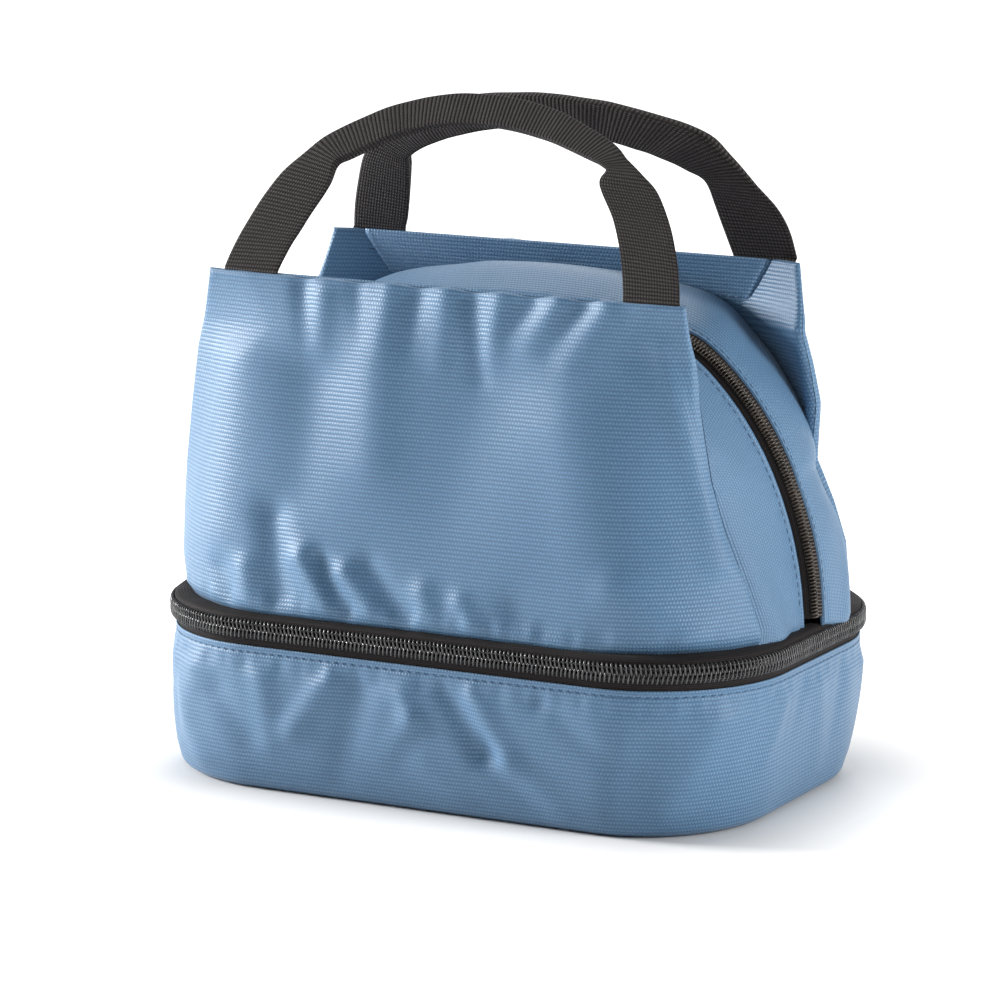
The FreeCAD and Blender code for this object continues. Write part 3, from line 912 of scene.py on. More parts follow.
def face_out(piece: bpy.types.Object) -> bpy.types.Object:
    """Turn every face of a closed piece outward."""
    build = bmesh.new()
    build.from_mesh(piece.data)
    bmesh.ops.recalc_face_normals(build, faces=build.faces)
    build.to_mesh(piece.data)
    build.free()
    return piece


def aim(piece: bpy.types.Object, centre: tuple[float, float, float]) -> bpy.types.Object:
    """Turn an open sheet's faces away from a point.

    Args:
        piece: the sheet.
        centre: the point, in millimetres.

    Returns:
        The same piece.
    """
    middle = Vector(centre) * MM
    total = sum(
        face.area * face.normal.dot((face.center - middle).normalized()) for face in piece.data.polygons
    )
    if total < 0:
        piece.data.flip_normals()
    return piece


def dress(
    piece: bpy.types.Object, finish: bpy.types.Material, slot: Slot, body: str | None, *nodes: str
) -> bpy.types.Object:
    """Give a piece its finish and its body, and hide the CAD nodes that it stands for.

    Args:
        piece: the piece.
        finish: its material.
        slot: the record's material slot; not used.
        body: the body that it rides on, or None to leave it unattached.
        nodes: the CAD nodes that it replaces.

    Returns:
        The same piece.
    """
    piece.data.materials.clear()
    piece.data.materials.append(finish)
    if nodes:
        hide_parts(*nodes)
    if body is not None:
        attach(piece, body)
    log.info("%s: %d faces", piece.name, len(piece.data.polygons))
    return piece


# ---------------------------------------------------------------- base


# Rows of the base cloth that lie turned in at its top edge.
TURNED_ROWS = 4


@dataclass
class Base:
    """The low tub with its padded wall, lining and bound rim."""

    finishes: Finishes
    outline: RoundedOutline = RoundedOutline(255.6, 165.6, 53.8)
    wall_top: float = 56.9
    taper: float = 2.5
    edge_radius: float = 4.0
    stitch_level: float = 54.3
    step: float = 1.9
    stitch_line: tuple[np.ndarray, np.ndarray] | None = field(default=None, init=False)
    folds: list[Fold] = field(
        default_factory=lambda: [
            Fold((12, 52), (30, 27), 5.5, -2.3, 0.9),
            Fold((30, 27), (53, 9), 6.5, -1.9, 0.4),
            Fold((25, 50), (41, 25), 5.0, 1.7, 0.9),
            Fold((41, 25), (64, 7), 5.5, 1.5, 0.4),
            Fold((54, 49), (90, 25), 5.0, -1.8, 0.4),
            Fold((58, 44), (88, 34), 4.5, 1.0, 0.4),
            Fold((-23, 46), (-32, 12), 7.0, -2.0, 0.5),
            Fold((-35, 50), (-52, 26), 5.0, 1.8, 0.7),
            Fold((-52, 26), (-30, 16), 6.0, 0.9, 0.5),
            Fold((-86, 38), (-72, 22), 6.5, -1.9, 0.6),
            Fold((-66, 47), (-62, 22), 5.5, 1.6, 0.6),
            Fold((-8, 53), (0, 37), 4.5, 1.4, 1.0),
            Fold((0, 37), (-13, 20), 5.0, 1.3, 0.3),
            Fold((5, 20), (20, 8), 6.0, 0.8, 0.6),
            Fold((-98, 50), (-104, 26), 5.0, 1.2, 0.4),
            Fold((-112, 48), (-116, 20), 5.0, -1.3, 0.4),
            Fold((124, 45), (106, 10), 7.5, 1.7, 0.7),
            Fold((97, 36), (92, 8), 8.0, -1.3, 0.6),
            Fold((152, 50), (137, 30), 3.6, -1.4, 0.4),
            Fold((160, 48), (148, 26), 3.8, 1.1, 0.4),
            Fold((176, 50), (168, 34), 4.0, -1.1, 0.3),
            Fold((190, 46), (196, 16), 7.0, 1.3, 0.4),
            Fold((212, 50), (206, 24), 5.0, -1.2, 0.4),
            Fold((236, 46), (246, 14), 7.0, 1.5, 0.5),
            Fold((262, 50), (252, 22), 5.0, -1.3, 0.5),
        ]
    )

    def spread_folds(self, along: np.ndarray, high: np.ndarray, far: float) -> np.ndarray:
        """Height of the folds all round the wall.

        Args:
            along: distance from the middle of the front, anticlockwise.
            high: level.
            far: length of the outline.

        Returns:
            Height outward in millimetres.
        """
        signed = (along + far / 2) % far - far / 2
        total = folded(self.folds, signed, high)
        behind = far / 2 - np.abs(signed)
        mirrored = [fold.again(0.93, 9.0, 0.8) for fold in self.folds if abs(fold.start[0]) < 100]
        rear = folded(mirrored, np.where(signed > 0, behind, -behind), high)
        flank = [fold for fold in self.folds if fold.start[0] > 120]
        left = folded(flank, -signed * 1.04 + 5, high)
        return total + rear + left * (signed < 0)

    def wall_profile(self) -> Profile:
        """Rows of the outer cloth, from the turned top edge down and under the bottom edge."""
        top = [(-0.75, 55.6), (-0.75, self.wall_top - 0.25)]
        top += [(-0.45, self.wall_top), (-0.1, self.wall_top - 0.2)]
        levels = [56.2, 55.6, 55.1, 54.7, 54.3, 53.9, 53.4, 52.8]
        levels += list(np.arange(51.6, self.edge_radius + 0.4, -1.5))
        span = self.wall_top - self.edge_radius
        wall = [(-self.taper * (self.wall_top - high) / span, high) for high in levels]
        turn = np.radians(np.linspace(0, 90, 12))
        curl = [
            (-self.taper - self.edge_radius * (1 - math.cos(a)), self.edge_radius * (1 - math.sin(a)) + 0.35)
            for a in turn
        ]
        return top + wall + curl

    def outer_cloth(self) -> bpy.types.Object:
        """The blue tub: turned edge, folded wall, rounded bottom edge and flat bottom."""
        stations = self.outline.even_stations(self.step)
        profile = self.wall_profile()
        grid = ring_grid(self.outline, stations, profile)
        points, normals = self.outline.walk(stations)
        far = float(np.linalg.norm(np.roll(points, -1, axis=0) - points, axis=1).sum())
        along = np.arange(len(stations)) * far / len(stations)
        for place, (_, high) in enumerate(profile):
            gate = np.clip((54.6 - high) / 9.0, 0.0, 1.0) ** 0.8 * np.clip(high / 9.0, 0.0, 1.0)
            swell = 2.5 * math.sin(math.pi * np.clip(high / 55.0, 0.0, 1.0)) ** 0.7
            height = gate * (self.spread_folds(along, np.full(len(along), high), far) + swell)
            seam = 0.32 * math.exp(-(((high - self.stitch_level) / 0.75) ** 2))
            pucker = 0.42 * math.exp(-(((high - 50.5) / 3.2) ** 2)) * ripple(along, 8.3, 1.7)
            behind = far / 2 - np.abs((along + far / 2) % far - far / 2)
            flat = np.clip((72.0 - behind) / 9.0, 0.0, 1.0) * np.clip((high - 34.0) / 7.0, 0.0, 1.0)
            height, pucker = height * (1.0 - flat), pucker * (1.0 - flat)
            if place >= TURNED_ROWS:
                grid[place, :, :2] += normals * (height - seam + pucker)[:, None]
            if high < 0.6:
                grid[place, :, 2] = 0.35
        rim = grid[-1]
        shares = [0.93, 0.8, 0.6, 0.35, 0.12, 0.01]
        bottom = np.stack([drawn_in(rim, share, 0.35) for share in shares])
        grid = self.lean_left(np.concatenate([grid, bottom]))
        piece = aim(swept_piece("base_outer_cloth", grid, round_rows=False), (0.0, 0.0, 30.0))
        thicken(piece, 0.6)
        self.stitch_line = self.seam_line(grid, profile)
        return dress(piece, self.finishes.shell, Slot.SHELL, "base", "base_side_wall", "base_bottom_panel")

    @staticmethod
    def lean_left(grid: np.ndarray) -> np.ndarray:
        """The same rows with the right side settled inwards and the left side outwards towards the floor.

        Args:
            grid: rows x stations x 3.

        Returns:
            The moved rows.
        """
        fall = np.clip(1.0 - grid[..., 2] / 54.0, 0.0, 1.0) ** 0.8
        side = np.clip(grid[..., 0] / 128.0, -1.0, 1.0)
        moved = grid.copy()
        moved[..., 0] -= fall * side**2 * np.where(side > 0, 4.6, 1.2)
        return moved

    def seam_line(self, grid: np.ndarray, profile: Profile) -> tuple[np.ndarray, np.ndarray]:
        """Where the topstitching runs, with its outward directions.

        Args:
            grid: the outer cloth.
            profile: the rows it was swept from.

        Returns:
            The line of stitches and the cloth's directions along it.
        """
        levels = np.array([high for _, high in profile[TURNED_ROWS:]])
        row = TURNED_ROWS + int(np.argmin(np.abs(levels - self.stitch_level)))
        stations = self.outline.even_stations(self.step)
        _, normals = self.outline.walk(stations)
        return grid[row], np.column_stack([normals, np.zeros(len(normals))])

    def topstitch(self) -> bpy.types.Object:
        """Stitches that hold the turned edge of the cloth to the zip tape."""
        line, normals = self.stitch_line
        stitch = StitchRun(length=2.6, gap=0.9, thick=0.4)
        piece = stitch.build("base_topstitching", line + normals * 0.12, normals, closed=True)
        return dress(piece, self.finishes.thread, Slot.SHELL, "base")

    def padding(self) -> bpy.types.Object:
        """The foam between cloth and lining, as one dished pad."""
        stations = self.outline.even_stations(4.5)
        outer = [(-1.6, 55.5), (-2.6, 40.0), (-3.6, 12.5), (-4.6, 8.5)]
        outer += [(-7.2, 4.0), (-11.0, 1.9), (-16.0, 1.5)]
        inner = [(-19.0, 4.6), (-12.5, 5.2), (-9.4, 8.0), (-7.9, 12.5), (-5.0, 55.5)]
        rows = list(ring_grid(self.outline, stations, outer))
        floor_low = [drawn_in(rows[-1], share, 1.5) for share in (0.8, 0.5, 0.2, 0.01)]
        inner_rows = list(ring_grid(self.outline, stations, inner))
        floor_high = [drawn_in(inner_rows[0], share, 4.6) for share in (0.01, 0.2, 0.5, 0.8)]
        grid = self.lean_left(np.stack(rows + floor_low + floor_high + inner_rows))
        piece = swept_piece("base_padding", grid)
        return dress(piece, self.finishes.foam, Slot.FOAM, "base", "base_wall_foam", "base_floor_foam")

    def lining(self) -> bpy.types.Object:
        """The pale lining of the lower compartment, with shallow quilting on its floor."""
        stations = self.outline.even_stations(3.0)
        wall = [(-5.2, 56.0)]
        wall += [(-5.2 - 2.9 * (56 - high) / 44, high) for high in np.arange(53.0, 12.0, -3.0)]
        turn = [(-8.3, 10.0), (-9.2, 7.6), (-11.0, 5.9), (-14.0, 5.1), (-18.0, 5.0)]
        rows = list(ring_grid(self.outline, stations, wall + turn))
        _, normals = self.outline.walk(stations)
        far = run_length(rows[0])
        for row in rows[1:-3]:
            row[:, :2] -= normals * (0.35 * (ripple(far, 31.0, row[0, 2] * 0.12) + 1.0))[:, None]
        rows += [drawn_in(rows[-1], share, 5.0) for share in (0.85, 0.7, 0.55, 0.4, 0.25, 0.1, 0.01)]
        grid = self.lean_left(np.stack(rows))
        piece = aim(swept_piece("base_lining", grid, round_rows=False), (0.0, 0.0, 30.0))
        thicken(piece, 0.3, 1.0)
        nodes = ["base_wall_lining", "base_floor_lining"]
        return dress(piece, self.finishes.lining, Slot.LINING, "base", *nodes)

    def rim_binding(self) -> bpy.types.Object:
        """The folded binding over the top edge of wall and lining."""
        low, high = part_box("base_rim_binding")
        top = high.z / MM
        foot = low.z / MM
        profile = [(-1.2, foot), (-1.0, top - 0.7), (-1.5, top), (-3.2, top), (-5.4, top - 0.1)]
        profile += [(-6.0, top - 0.9), (-5.9, foot - 4.0), (-5.4, foot - 4.0)]
        profile += [(-5.2, foot), (-3.0, foot + 0.2)]
        grid = ring_grid(self.outline, self.outline.even_stations(3.0), profile)
        piece = swept_piece("base_rim_binding_tape", grid)
        return dress(piece, self.finishes.tape, Slot.TAPE, "base", "base_rim_binding")

    def build(self) -> None:
        """Build every piece of the base."""
        self.outer_cloth()
        self.topstitch()
        self.padding()
        self.lining()
        self.rim_binding()


# ---------------------------------------------------------------- zip round the rim


@dataclass
class RimZip:
    """The coil zip that joins base and divider: two tapes, two coil halves, end tabs and hinge cloth."""

    finishes: Finishes
    outline: RoundedOutline = RoundedOutline(255.6, 165.6, 53.8)
    deck: RoundedOutline = RoundedOutline(254.0, 162.0, 64.0)
    zip_level: float = 63.5
    hinge_half: float = 60.0
    coil: CoilHalf = CoilHalf(pitch=1.74, width=3.5, depth=1.7, wire=0.38, phase=0.0)

    def lower_tape(self) -> bpy.types.Object:
        """Tape of the base, from behind the blue cloth up to the coil."""
        profile = [
            (-0.95, 54.0), (-0.95, 56.4), (-0.55, 57.6), (-0.15, 59.0), (0.0, 61.0), (0.0, 62.7),
            (-0.35, 63.15), (-0.75, 62.7), (-0.8, 59.4), (-1.2, 57.6), (-1.6, 56.2), (-1.6, 54.0),
        ]
        grid = ring_grid(self.outline, self.outline.even_stations(2.5), profile)
        piece = swept_piece("lower_zip_tape", grid)
        return dress(piece, self.finishes.tape, Slot.TAPE, "base", "base_zip_tape")

    def upper_tape(self) -> bpy.types.Object:
        """Tape of the divider, up from the coil and in under the upper part as a rounded ledge."""
        stations = self.outline.even_stations(2.0)
        points, normals = self.outline.walk(stations)
        inner_points, inner_normals = self.deck.walk(stations)
        tucked = inner_points - inner_normals * 6.5
        upright = [
            (-0.8, 64.3), (-0.35, 63.85), (0.0, 64.3), (0.0, 66.0), (0.25, 67.2), (0.1, 68.1),
        ]
        rows = list(ring_grid(self.outline, stations, upright))
        start = points + normals * 0.1
        for share, high in ((0.1, 68.75), (0.3, 69.15), (0.6, 69.25), (1.0, 69.0)):
            rows.append(np.column_stack([start + (tucked - start) * share, np.full(len(points), high)]))
        for share, high in ((1.0, 68.2), (0.5, 68.3), (0.16, 68.0), (0.07, 67.2)):
            rows.append(np.column_stack([start + (tucked - start) * share, np.full(len(points), high)]))
        far = run_length(points)
        for row in rows[6:10]:
            row[:, 2] += 0.22 * ripple(far, 23.0, 0.8)
        piece = swept_piece("upper_zip_tape", np.stack(rows))
        return dress(piece, self.finishes.tape, Slot.TAPE, "divider", "divider_zip_tape")

    def chain(self) -> None:
        """Both coil halves, open across the hinge at the rear."""
        fine = self.outline.even_stations(0.8)
        points, normals = self.outline.walk(fine)
        at_rear = (points[:, 1] > 0) & (np.abs(points[:, 0]) < self.hinge_half + 1.5)
        first = int(np.argmax(at_rear))
        order = np.roll(np.arange(len(points)), -first)
        order = order[~at_rear[order]]
        line = np.column_stack([points, np.full(len(points), self.zip_level)])[order]
        outward = np.column_stack([normals, np.zeros(len(normals))])[order]
        for name, up, body, node, phase in (
            ("lower_coil", -1.0, "base", "base_zip_teeth", 0.0),
            ("upper_coil", 1.0, "divider", "divider_zip_teeth", 0.5),
        ):
            away = np.tile([0.0, 0.0, up], (len(line), 1))
            half = replace(self.coil, phase=phase)
            piece = half.build(name, line + outward * 0.15, outward, away)
            dress(piece, self.finishes.coil, Slot.TEETH, body, node)
            self.coil_cord(name, line, outward, up, body)

    def coil_cord(self, name: str, line: np.ndarray, outward: np.ndarray, up: float, body: str) -> None:
        """The filler cord inside a coil half and the stitches that hold the coil down."""
        core = line + outward * 0.55 + np.array([0.0, 0.0, up * 1.9])
        piece = tube(f"{name}_cord", respaced(core, 3.0), 0.5, 6)
        dress(piece, self.finishes.black_thread, Slot.TAPE, body)
        seam = respaced(line + outward * 1.75 + np.array([0.0, 0.0, up * 2.35]), 2.0)
        at_seam, at_line = np.linspace(0, 1, len(seam)), np.linspace(0, 1, len(outward))
        facing = np.stack([np.interp(at_seam, at_line, outward[:, axis]) for axis in range(3)], axis=1)
        stitches = StitchRun(length=1.5, gap=0.24, thick=0.36).build(f"{name}_stitching", seam, facing)
        dress(stitches, self.finishes.black_thread, Slot.TAPE, body)

    def hinge_cloth(self) -> bpy.types.Object:
        """The strip of tape across the back that the upper part tips on."""
        low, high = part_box("back_hinge_strip")
        x = np.linspace(low.x / MM, high.x / MM, 49)
        face = high.y / MM
        levels = np.array([44.6, 47, 50, 53, 56, 58, 60, 61.5, 62.5, 63.5, 64.5, 65.5, 67.0, 68.4])
        bow = 0.35 * np.cos(x / 60.0 * math.pi / 2)
        grid = np.zeros((len(levels), len(x), 3))
        for place, level in enumerate(levels):
            grid[place] = np.column_stack([x, face + bow, np.full(len(x), level)])
        piece = grid_piece("back_hinge_cloth", grid, grid_chart(grid))
        thicken(piece, 0.9)
        dress(piece, self.finishes.tape, Slot.TAPE, None, "back_hinge_strip")
        freeze(piece)
        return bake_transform(piece)

    def hinge_stitching(self) -> None:
        """Two rows of stitches along the lower edge of the hinge cloth."""
        _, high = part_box("back_hinge_strip")
        x = np.linspace(-57.0, 57.0, 60)
        for name, level in (("hinge_stitching_low", 46.6), ("hinge_stitching_high", 52.0)):
            face = high.y / MM + 0.35 * np.cos(x / 60.0 * math.pi / 2) + 0.05
            line = np.column_stack([x, face, np.full(len(x), level)])
            rearward = np.tile([0.0, 1.0, 0.0], (len(x), 1))
            piece = StitchRun(length=2.4, gap=0.9, thick=0.4).build(name, line, rearward)
            dress(piece, self.finishes.black_thread, Slot.TAPE, "base")

    def end_tabs(self) -> None:
        """Folded tabs sewn over both ends of the lower chain."""
        low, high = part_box("base_zip_end_tabs")
        middle_z, half_z = (low.z + high.z) / 2 / MM, (high.z - low.z) / 2 / MM
        front, back = low.y / MM - 0.2, high.y / MM + 0.5
        across, up = np.meshgrid(np.linspace(-1.0, 1.0, 13), np.linspace(-1.0, 1.0, 9))
        puff = (1 - across**4) * (1 - up**4)
        for end, sign in (("left", -1.0), ("right", 1.0)):
            x = sign * (67.3 + 5.7 * across * sign)
            outer = np.stack([x, back - 0.5 + 0.5 * puff, middle_z + half_z * up], axis=-1)
            inner = np.stack([x, np.full_like(x, front), middle_z + half_z * up * 0.98], axis=-1)
            grid, chart = close_skin(outer, inner)
            piece = grid_piece(f"zip_end_tab_{end}", grid, chart, round_rows=True)
            dress(piece, self.finishes.webbing, Slot.WEBBING, "base", "base_zip_end_tabs")

    def build(self) -> None:
        """Build every piece of the rim zip."""
        self.lower_tape()
        self.upper_tape()
        self.chain()
        self.hinge_cloth()
        self.hinge_stitching()
        self.end_tabs()


@dataclass
class Divider:
    """The padded deck between the two compartments."""

    finishes: Finishes
    outline: RoundedOutline = RoundedOutline(250.0, 160.0, 51.0)

    def plate(self, low: float, high: float, out: float, puff: float) -> np.ndarray:
        """Rows of a flat plate with rounded edges.

        Args:
            low: underside level.
            high: upper level.
            out: how far its edge stands from the outline.
            puff: how far its faces swell between the sewn edge and the middle.

        Returns:
            Rows x stations x 3, running over the top face and back under.
        """
        stations = self.outline.even_stations(4.0)
        rim = ring_grid(self.outline, stations, [(out, (low + high) / 2)])[0]
        shares = [0.001, 0.004, 0.02, 0.25, 0.5, 0.7, 0.84, 0.93, 0.98, 0.997]
        lifts = [puff * math.sin(math.pi * share**2) ** 2 * 0.5 for share in shares]
        top = [drawn_in(rim, share, high + lift) for share, lift in zip(shares, lifts)]
        under = [drawn_in(rim, share, low) for share in shares]
        return np.stack(top + [rim] + under[::-1])

    def build(self) -> None:
        """Build the pad and its two linings."""
        pad_low, pad_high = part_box("divider_foam")
        grid = self.plate(pad_low.z / MM, pad_high.z / MM, -1.6, 0.0)
        pad = swept_piece("divider_padding", grid)
        dress(pad, self.finishes.foam, Slot.FOAM, "divider", "divider_foam")
        for name, out, puff in (("divider_under_lining", -1.0, 0.0), ("divider_top_lining", -1.2, 0.3)):
            low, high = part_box(name)
            grid = self.plate(low.z / MM, high.z / MM, out, puff)
            piece = swept_piece(f"{name}_sheet", grid)
            dress(piece, self.finishes.lining, Slot.LINING, "divider", name)


# ---------------------------------------------------------------- upper part


@dataclass(frozen=True)
class DomeLine:
    """One line over the dome: two bowed flanks joined by a flatter crest."""

    half: float
    radius: float
    shoulder_x: float
    shoulder_rise: float
    crest: float

    def trace(self, flank: int = 90, top: int = 110) -> np.ndarray:
        """Points from the right foot over to the left foot.

        Args:
            flank: points on each flank.
            top: points on the crest.

        Returns:
            Points as (x, rise above the foot), smoothed at the shoulders.
        """
        shoulder = np.array([self.shoulder_x, self.shoulder_rise])
        right = self.arc(np.array([self.half, 0.0]), shoulder, self.radius, flank)
        sag = self.crest - self.shoulder_rise
        bow = self.shoulder_x**2 / (2 * sag) + sag / 2
        over = self.arc(shoulder, shoulder * [-1, 1], bow, top)
        left = right[::-1] * [-1, 1]
        line = np.concatenate([right[:-1], over, left[1:]])
        for _ in range(46):
            line[1:-1] = (line[:-2] + 2 * line[1:-1] + line[2:]) / 4
        return line

    @staticmethod
    def arc(start: np.ndarray, end: np.ndarray, radius: float, count: int) -> np.ndarray:
        """Points on the arc that bows to the right of its chord."""
        chord = end - start
        reach = math.sqrt(radius**2 - float(chord @ chord) / 4)
        centre = (start + end) / 2 + unit(np.array([-chord[1], chord[0]])) * reach
        first = math.atan2(*(start - centre)[::-1])
        last = math.atan2(*(end - centre)[::-1])
        turn = np.linspace(first, last, count)
        return centre + radius * np.column_stack([np.cos(turn), np.sin(turn)])


ZIP_LINE = DomeLine(half=127.5, radius=136.0, shoulder_x=78.0, shoulder_rise=109.2, crest=117.7)
ZIP_LEAN = math.radians(3.5)
FOOT_LEVEL = 69.3
CREST_SAG = 4.0
SEAM_INSET = 1.6
# Columns of faces at a panel's side edges that keep the outer cloth.
LINED_FROM = 4


def dome_zip_points() -> np.ndarray:
    """The line where the two halves of the dome zip meet."""
    flat = ZIP_LINE.trace()
    rise = flat[:, 1] - CREST_SAG * np.clip((flat[:, 1] - 70.0) / 47.0, 0.0, 1.0) ** 2
    return np.column_stack([flat[:, 0], -rise * math.sin(ZIP_LEAN), FOOT_LEVEL + rise * math.cos(ZIP_LEAN)])


@dataclass
class HalfShell:
    """One half of the upper part: an upright panel with its hem, and half of the domed gusset."""

    side: Side
    finishes: Finishes
    top_y: float
    top_z: float
    seam: DomeLine
    seam_y: float
    folds: list[Fold]
    gusset_folds: list[Fold]
    first_inner_face: int = field(default=0, init=False)
    faces_across: int = field(default=1, init=False)
    foot: RoundedOutline = RoundedOutline(254.0, 162.0, 64.0)
    top_half: float = 101.5
    top_mid: float = 45.0
    wrap: float = 19.0
    hem_depth: float = 20.0
    ear_bend: float = 0.1
    swell: float = 2.2
    edge_marks: tuple[float, ...] = (0.0, 0.2, 0.33, 0.48, 0.7, 1.0)
    edge_shift: tuple[float, ...] = (0.0, -4.0, -6.6, -7.8, -6.6, -2.0)
    left_marks: tuple[float, ...] = (0.0, 0.1, 0.4, 0.75, 1.0)
    left_shift: tuple[float, ...] = (1.0, 3.4, 4.4, 4.0, 0.8)
    zip_gap: float = 5.0
    zip_step: float = -2.4
    gusset_swell: float = 1.9

    def crease(self, high: np.ndarray) -> np.ndarray:
        """How far from the middle the ear of the panel bends, at each level."""
        levels = [69, 100, 122, 144, 163, 176, 186, 202]
        places = [118, 109, 103, 95, 84, 72, 78, 88]
        return np.interp(high, levels, places)

    def skeleton(self, across: np.ndarray, up: np.ndarray) -> np.ndarray:
        """The smooth outer face of the panel.

        Args:
            across: -1 at the left edge to 1 at the right edge.
            up: 0 at the foot to 1 at the top.

        Returns:
            Points in millimetres.
        """
        share = self.top_mid / self.top_half
        reach = np.abs(across)
        straight = self.foot.width / 2 - self.foot.radius
        turn = np.radians(-90.0 + (reach - share) / (1 - share) * (90.0 - self.wrap))
        on_arc = reach > share
        foot_x = np.where(on_arc, straight + self.foot.radius * np.cos(turn), straight * reach / share)
        centre_y = self.foot.depth / 2 - self.foot.radius
        foot_y = np.where(on_arc, centre_y - self.foot.radius * np.sin(turn), self.foot.depth / 2)
        x = foot_x * (1 - up) + self.top_half * reach * up
        right = np.interp(up, self.edge_marks, self.edge_shift)
        left = np.interp(up, self.left_marks, self.left_shift)
        x = (x + np.where(across > 0, right, left) * reach**3) * np.sign(across)
        y = foot_y * (1 - up) + self.top_y * up
        z = FOOT_LEVEL + (self.top_z - FOOT_LEVEL) * up
        ear = np.maximum(0.0, np.abs(x) - self.crease(z))
        y = y - self.ear_bend * ear**2 / (ear + 2.5)
        return np.stack(np.broadcast_arrays(x, self.side.toward * y, z), axis=-1)

    def face_y(self, x: np.ndarray, z: np.ndarray) -> np.ndarray:
        """Distance of the outer face from the middle plane of the bag.

        Args:
            x: places across.
            z: levels.

        Returns:
            Distance from y 0, always positive.
        """
        marks = np.linspace(-1, 1, 241)
        x, z = np.broadcast_arrays(x, z)
        found = np.zeros(x.shape)
        for place in np.ndindex(x.shape):
            up = (z[place] - FOOT_LEVEL) / (self.top_z - FOOT_LEVEL)
            row = self.skeleton(marks, np.full(marks.shape, up))
            found[place] = np.interp(x[place], row[:, 0], row[:, 1] * self.side.toward)
        return found

    def panel(self) -> bpy.types.Object:
        """The padded panel: cloth outside, cloth and lining inside, rounded at its edges."""
        across = np.linspace(-0.985, 0.985, 168)
        up = np.concatenate([[0.0, 0.012, 0.026, 0.04], np.linspace(0.056, 0.985, 84)])
        s, t = np.meshgrid(across, up)
        outer = self.skeleton(s, t)
        facing = np.array([0.0, self.side.toward, 0.15])
        normal = surface_normals(outer, facing)
        x, z = outer[..., 0], outer[..., 2]
        height = folded(self.folds, x, z) * np.interp(z, [165.0, 180.0], [1.6, 1.0])
        edge_gate = np.clip((0.985 - np.abs(s)) / 0.03, 0.0, 1.0)
        foot_gate = np.clip(t / 0.03, 0.0, 1.0)
        swell = self.swell * np.sin(math.pi * np.clip(t, 0, 1) ** 0.55) * (0.35 + 0.65 * np.abs(s) ** 2)
        puckers = 0.55 * np.exp(-(((z - FOOT_LEVEL - 3.5) / 4.5) ** 2)) * ripple(x, 11.5, 0.9)
        tuck = -1.6 * np.exp(-(((z - FOOT_LEVEL) / 1.8) ** 2))
        total = (height + puckers) * edge_gate * foot_gate + swell * foot_gate + tuck
        thick = 2.7 + 2.2 / (1.0 + np.exp((z - self.top_z + self.hem_depth) / 2.5))
        inner = outer - normal * (thick - np.minimum(total + 1.5, 0.0))[..., None]
        outer = outer + normal * total[..., None]
        piece = self.slab(f"{self.side.value}_panel_padded", outer, inner, np.array([0.0, 0.0, 1.0]))
        name = self.side.value
        nodes = [f"{name}_panel", f"{name}_panel_foam", f"{name}_panel_lining"]
        dress(piece, self.finishes.shell, Slot.SHELL, self.side.body, *nodes)
        self.line_inside(piece)
        return piece

    def line_inside(self, piece: bpy.types.Object) -> None:
        """Give the faces inside the upper compartment the lining's finish."""
        piece.data.materials.append(self.finishes.lining)
        seam = self.seam.trace()
        order = np.argsort(seam[:, 0])
        for face in piece.data.polygons:
            centre = face.center / MM
            roof = FOOT_LEVEL + float(np.interp(centre.x, seam[order, 0], seam[order, 1], left=0, right=0))
            column = face.index % self.faces_across
            rim = min(column, self.faces_across - 1 - column)
            if face.index >= self.first_inner_face and rim >= LINED_FROM and centre.z < roof - 5.0:
                face.material_index = 1

    def slab(self, name: str, outer: np.ndarray, inner: np.ndarray, top: np.ndarray) -> bpy.types.Object:
        """Close an outer and an inner grid into one padded skin with rounded rims.

        Args:
            name: the piece's name.
            outer: rows x columns x 3, from foot to top.
            inner: the same for the inner face.
            top: direction in which the top rim bulges.

        Returns:
            The closed piece.
        """
        half = np.linalg.norm(outer - inner, axis=-1, keepdims=True) / 2
        middle = (outer + inner) / 2
        cap, cap_middle = [], []
        for angle in np.radians([25, 55, 90, 125, 155]):
            reach = (outer[-1] - middle[-1]) * math.cos(angle)
            cap.append(middle[-1] + reach + top * half[-1] * math.sin(angle))
            cap_middle.append(middle[-1] + top * half[-1] * math.sin(angle))
        ring = np.concatenate([outer, np.stack(cap), inner[::-1]])
        core = np.concatenate([middle, np.stack(cap_middle), middle[::-1]])
        halves = np.concatenate([half, np.repeat(half[-1:], 5, axis=0), half[::-1]])
        columns = [ring]
        for end, beside, before in ((0, 1, True), (-1, -2, False)):
            away = unit(ring[:, end] - ring[:, beside])
            side = []
            for angle in np.radians([30, 60, 88]):
                pulled = core[:, end] + (ring[:, end] - core[:, end]) * math.cos(angle)
                side.append(pulled + away * halves[:, end] * math.sin(angle))
            side = np.stack(side, axis=1)
            columns.insert(0, side[:, ::-1]) if before else columns.append(side)
        grid = np.concatenate(columns, axis=1)
        self.faces_across = grid.shape[1] - 1
        self.first_inner_face = (len(outer) + len(cap) - 1) * self.faces_across
        return face_out(grid_piece(name, grid, self.cut_chart(grid), round_rows=True))

    @staticmethod
    def cut_chart(grid: np.ndarray) -> np.ndarray:
        """Cloth coordinates of a piece cut with its rows along the yarn.

        Args:
            grid: rows x columns x 3, closing from the last row to the first.

        Returns:
            (rows + 1) x columns x 2.
        """
        closed = np.concatenate([grid, grid[:1]])
        steps = np.linalg.norm(np.diff(closed, axis=1), axis=-1)
        across = np.concatenate([np.zeros((len(closed), 1)), np.cumsum(steps, axis=1)], axis=1)
        middle = grid.shape[1] // 2
        across = across - across[:, middle : middle + 1]
        up = run_length(closed[:, middle])
        return np.stack([across, np.broadcast_to(up[:, None], across.shape)], axis=-1)

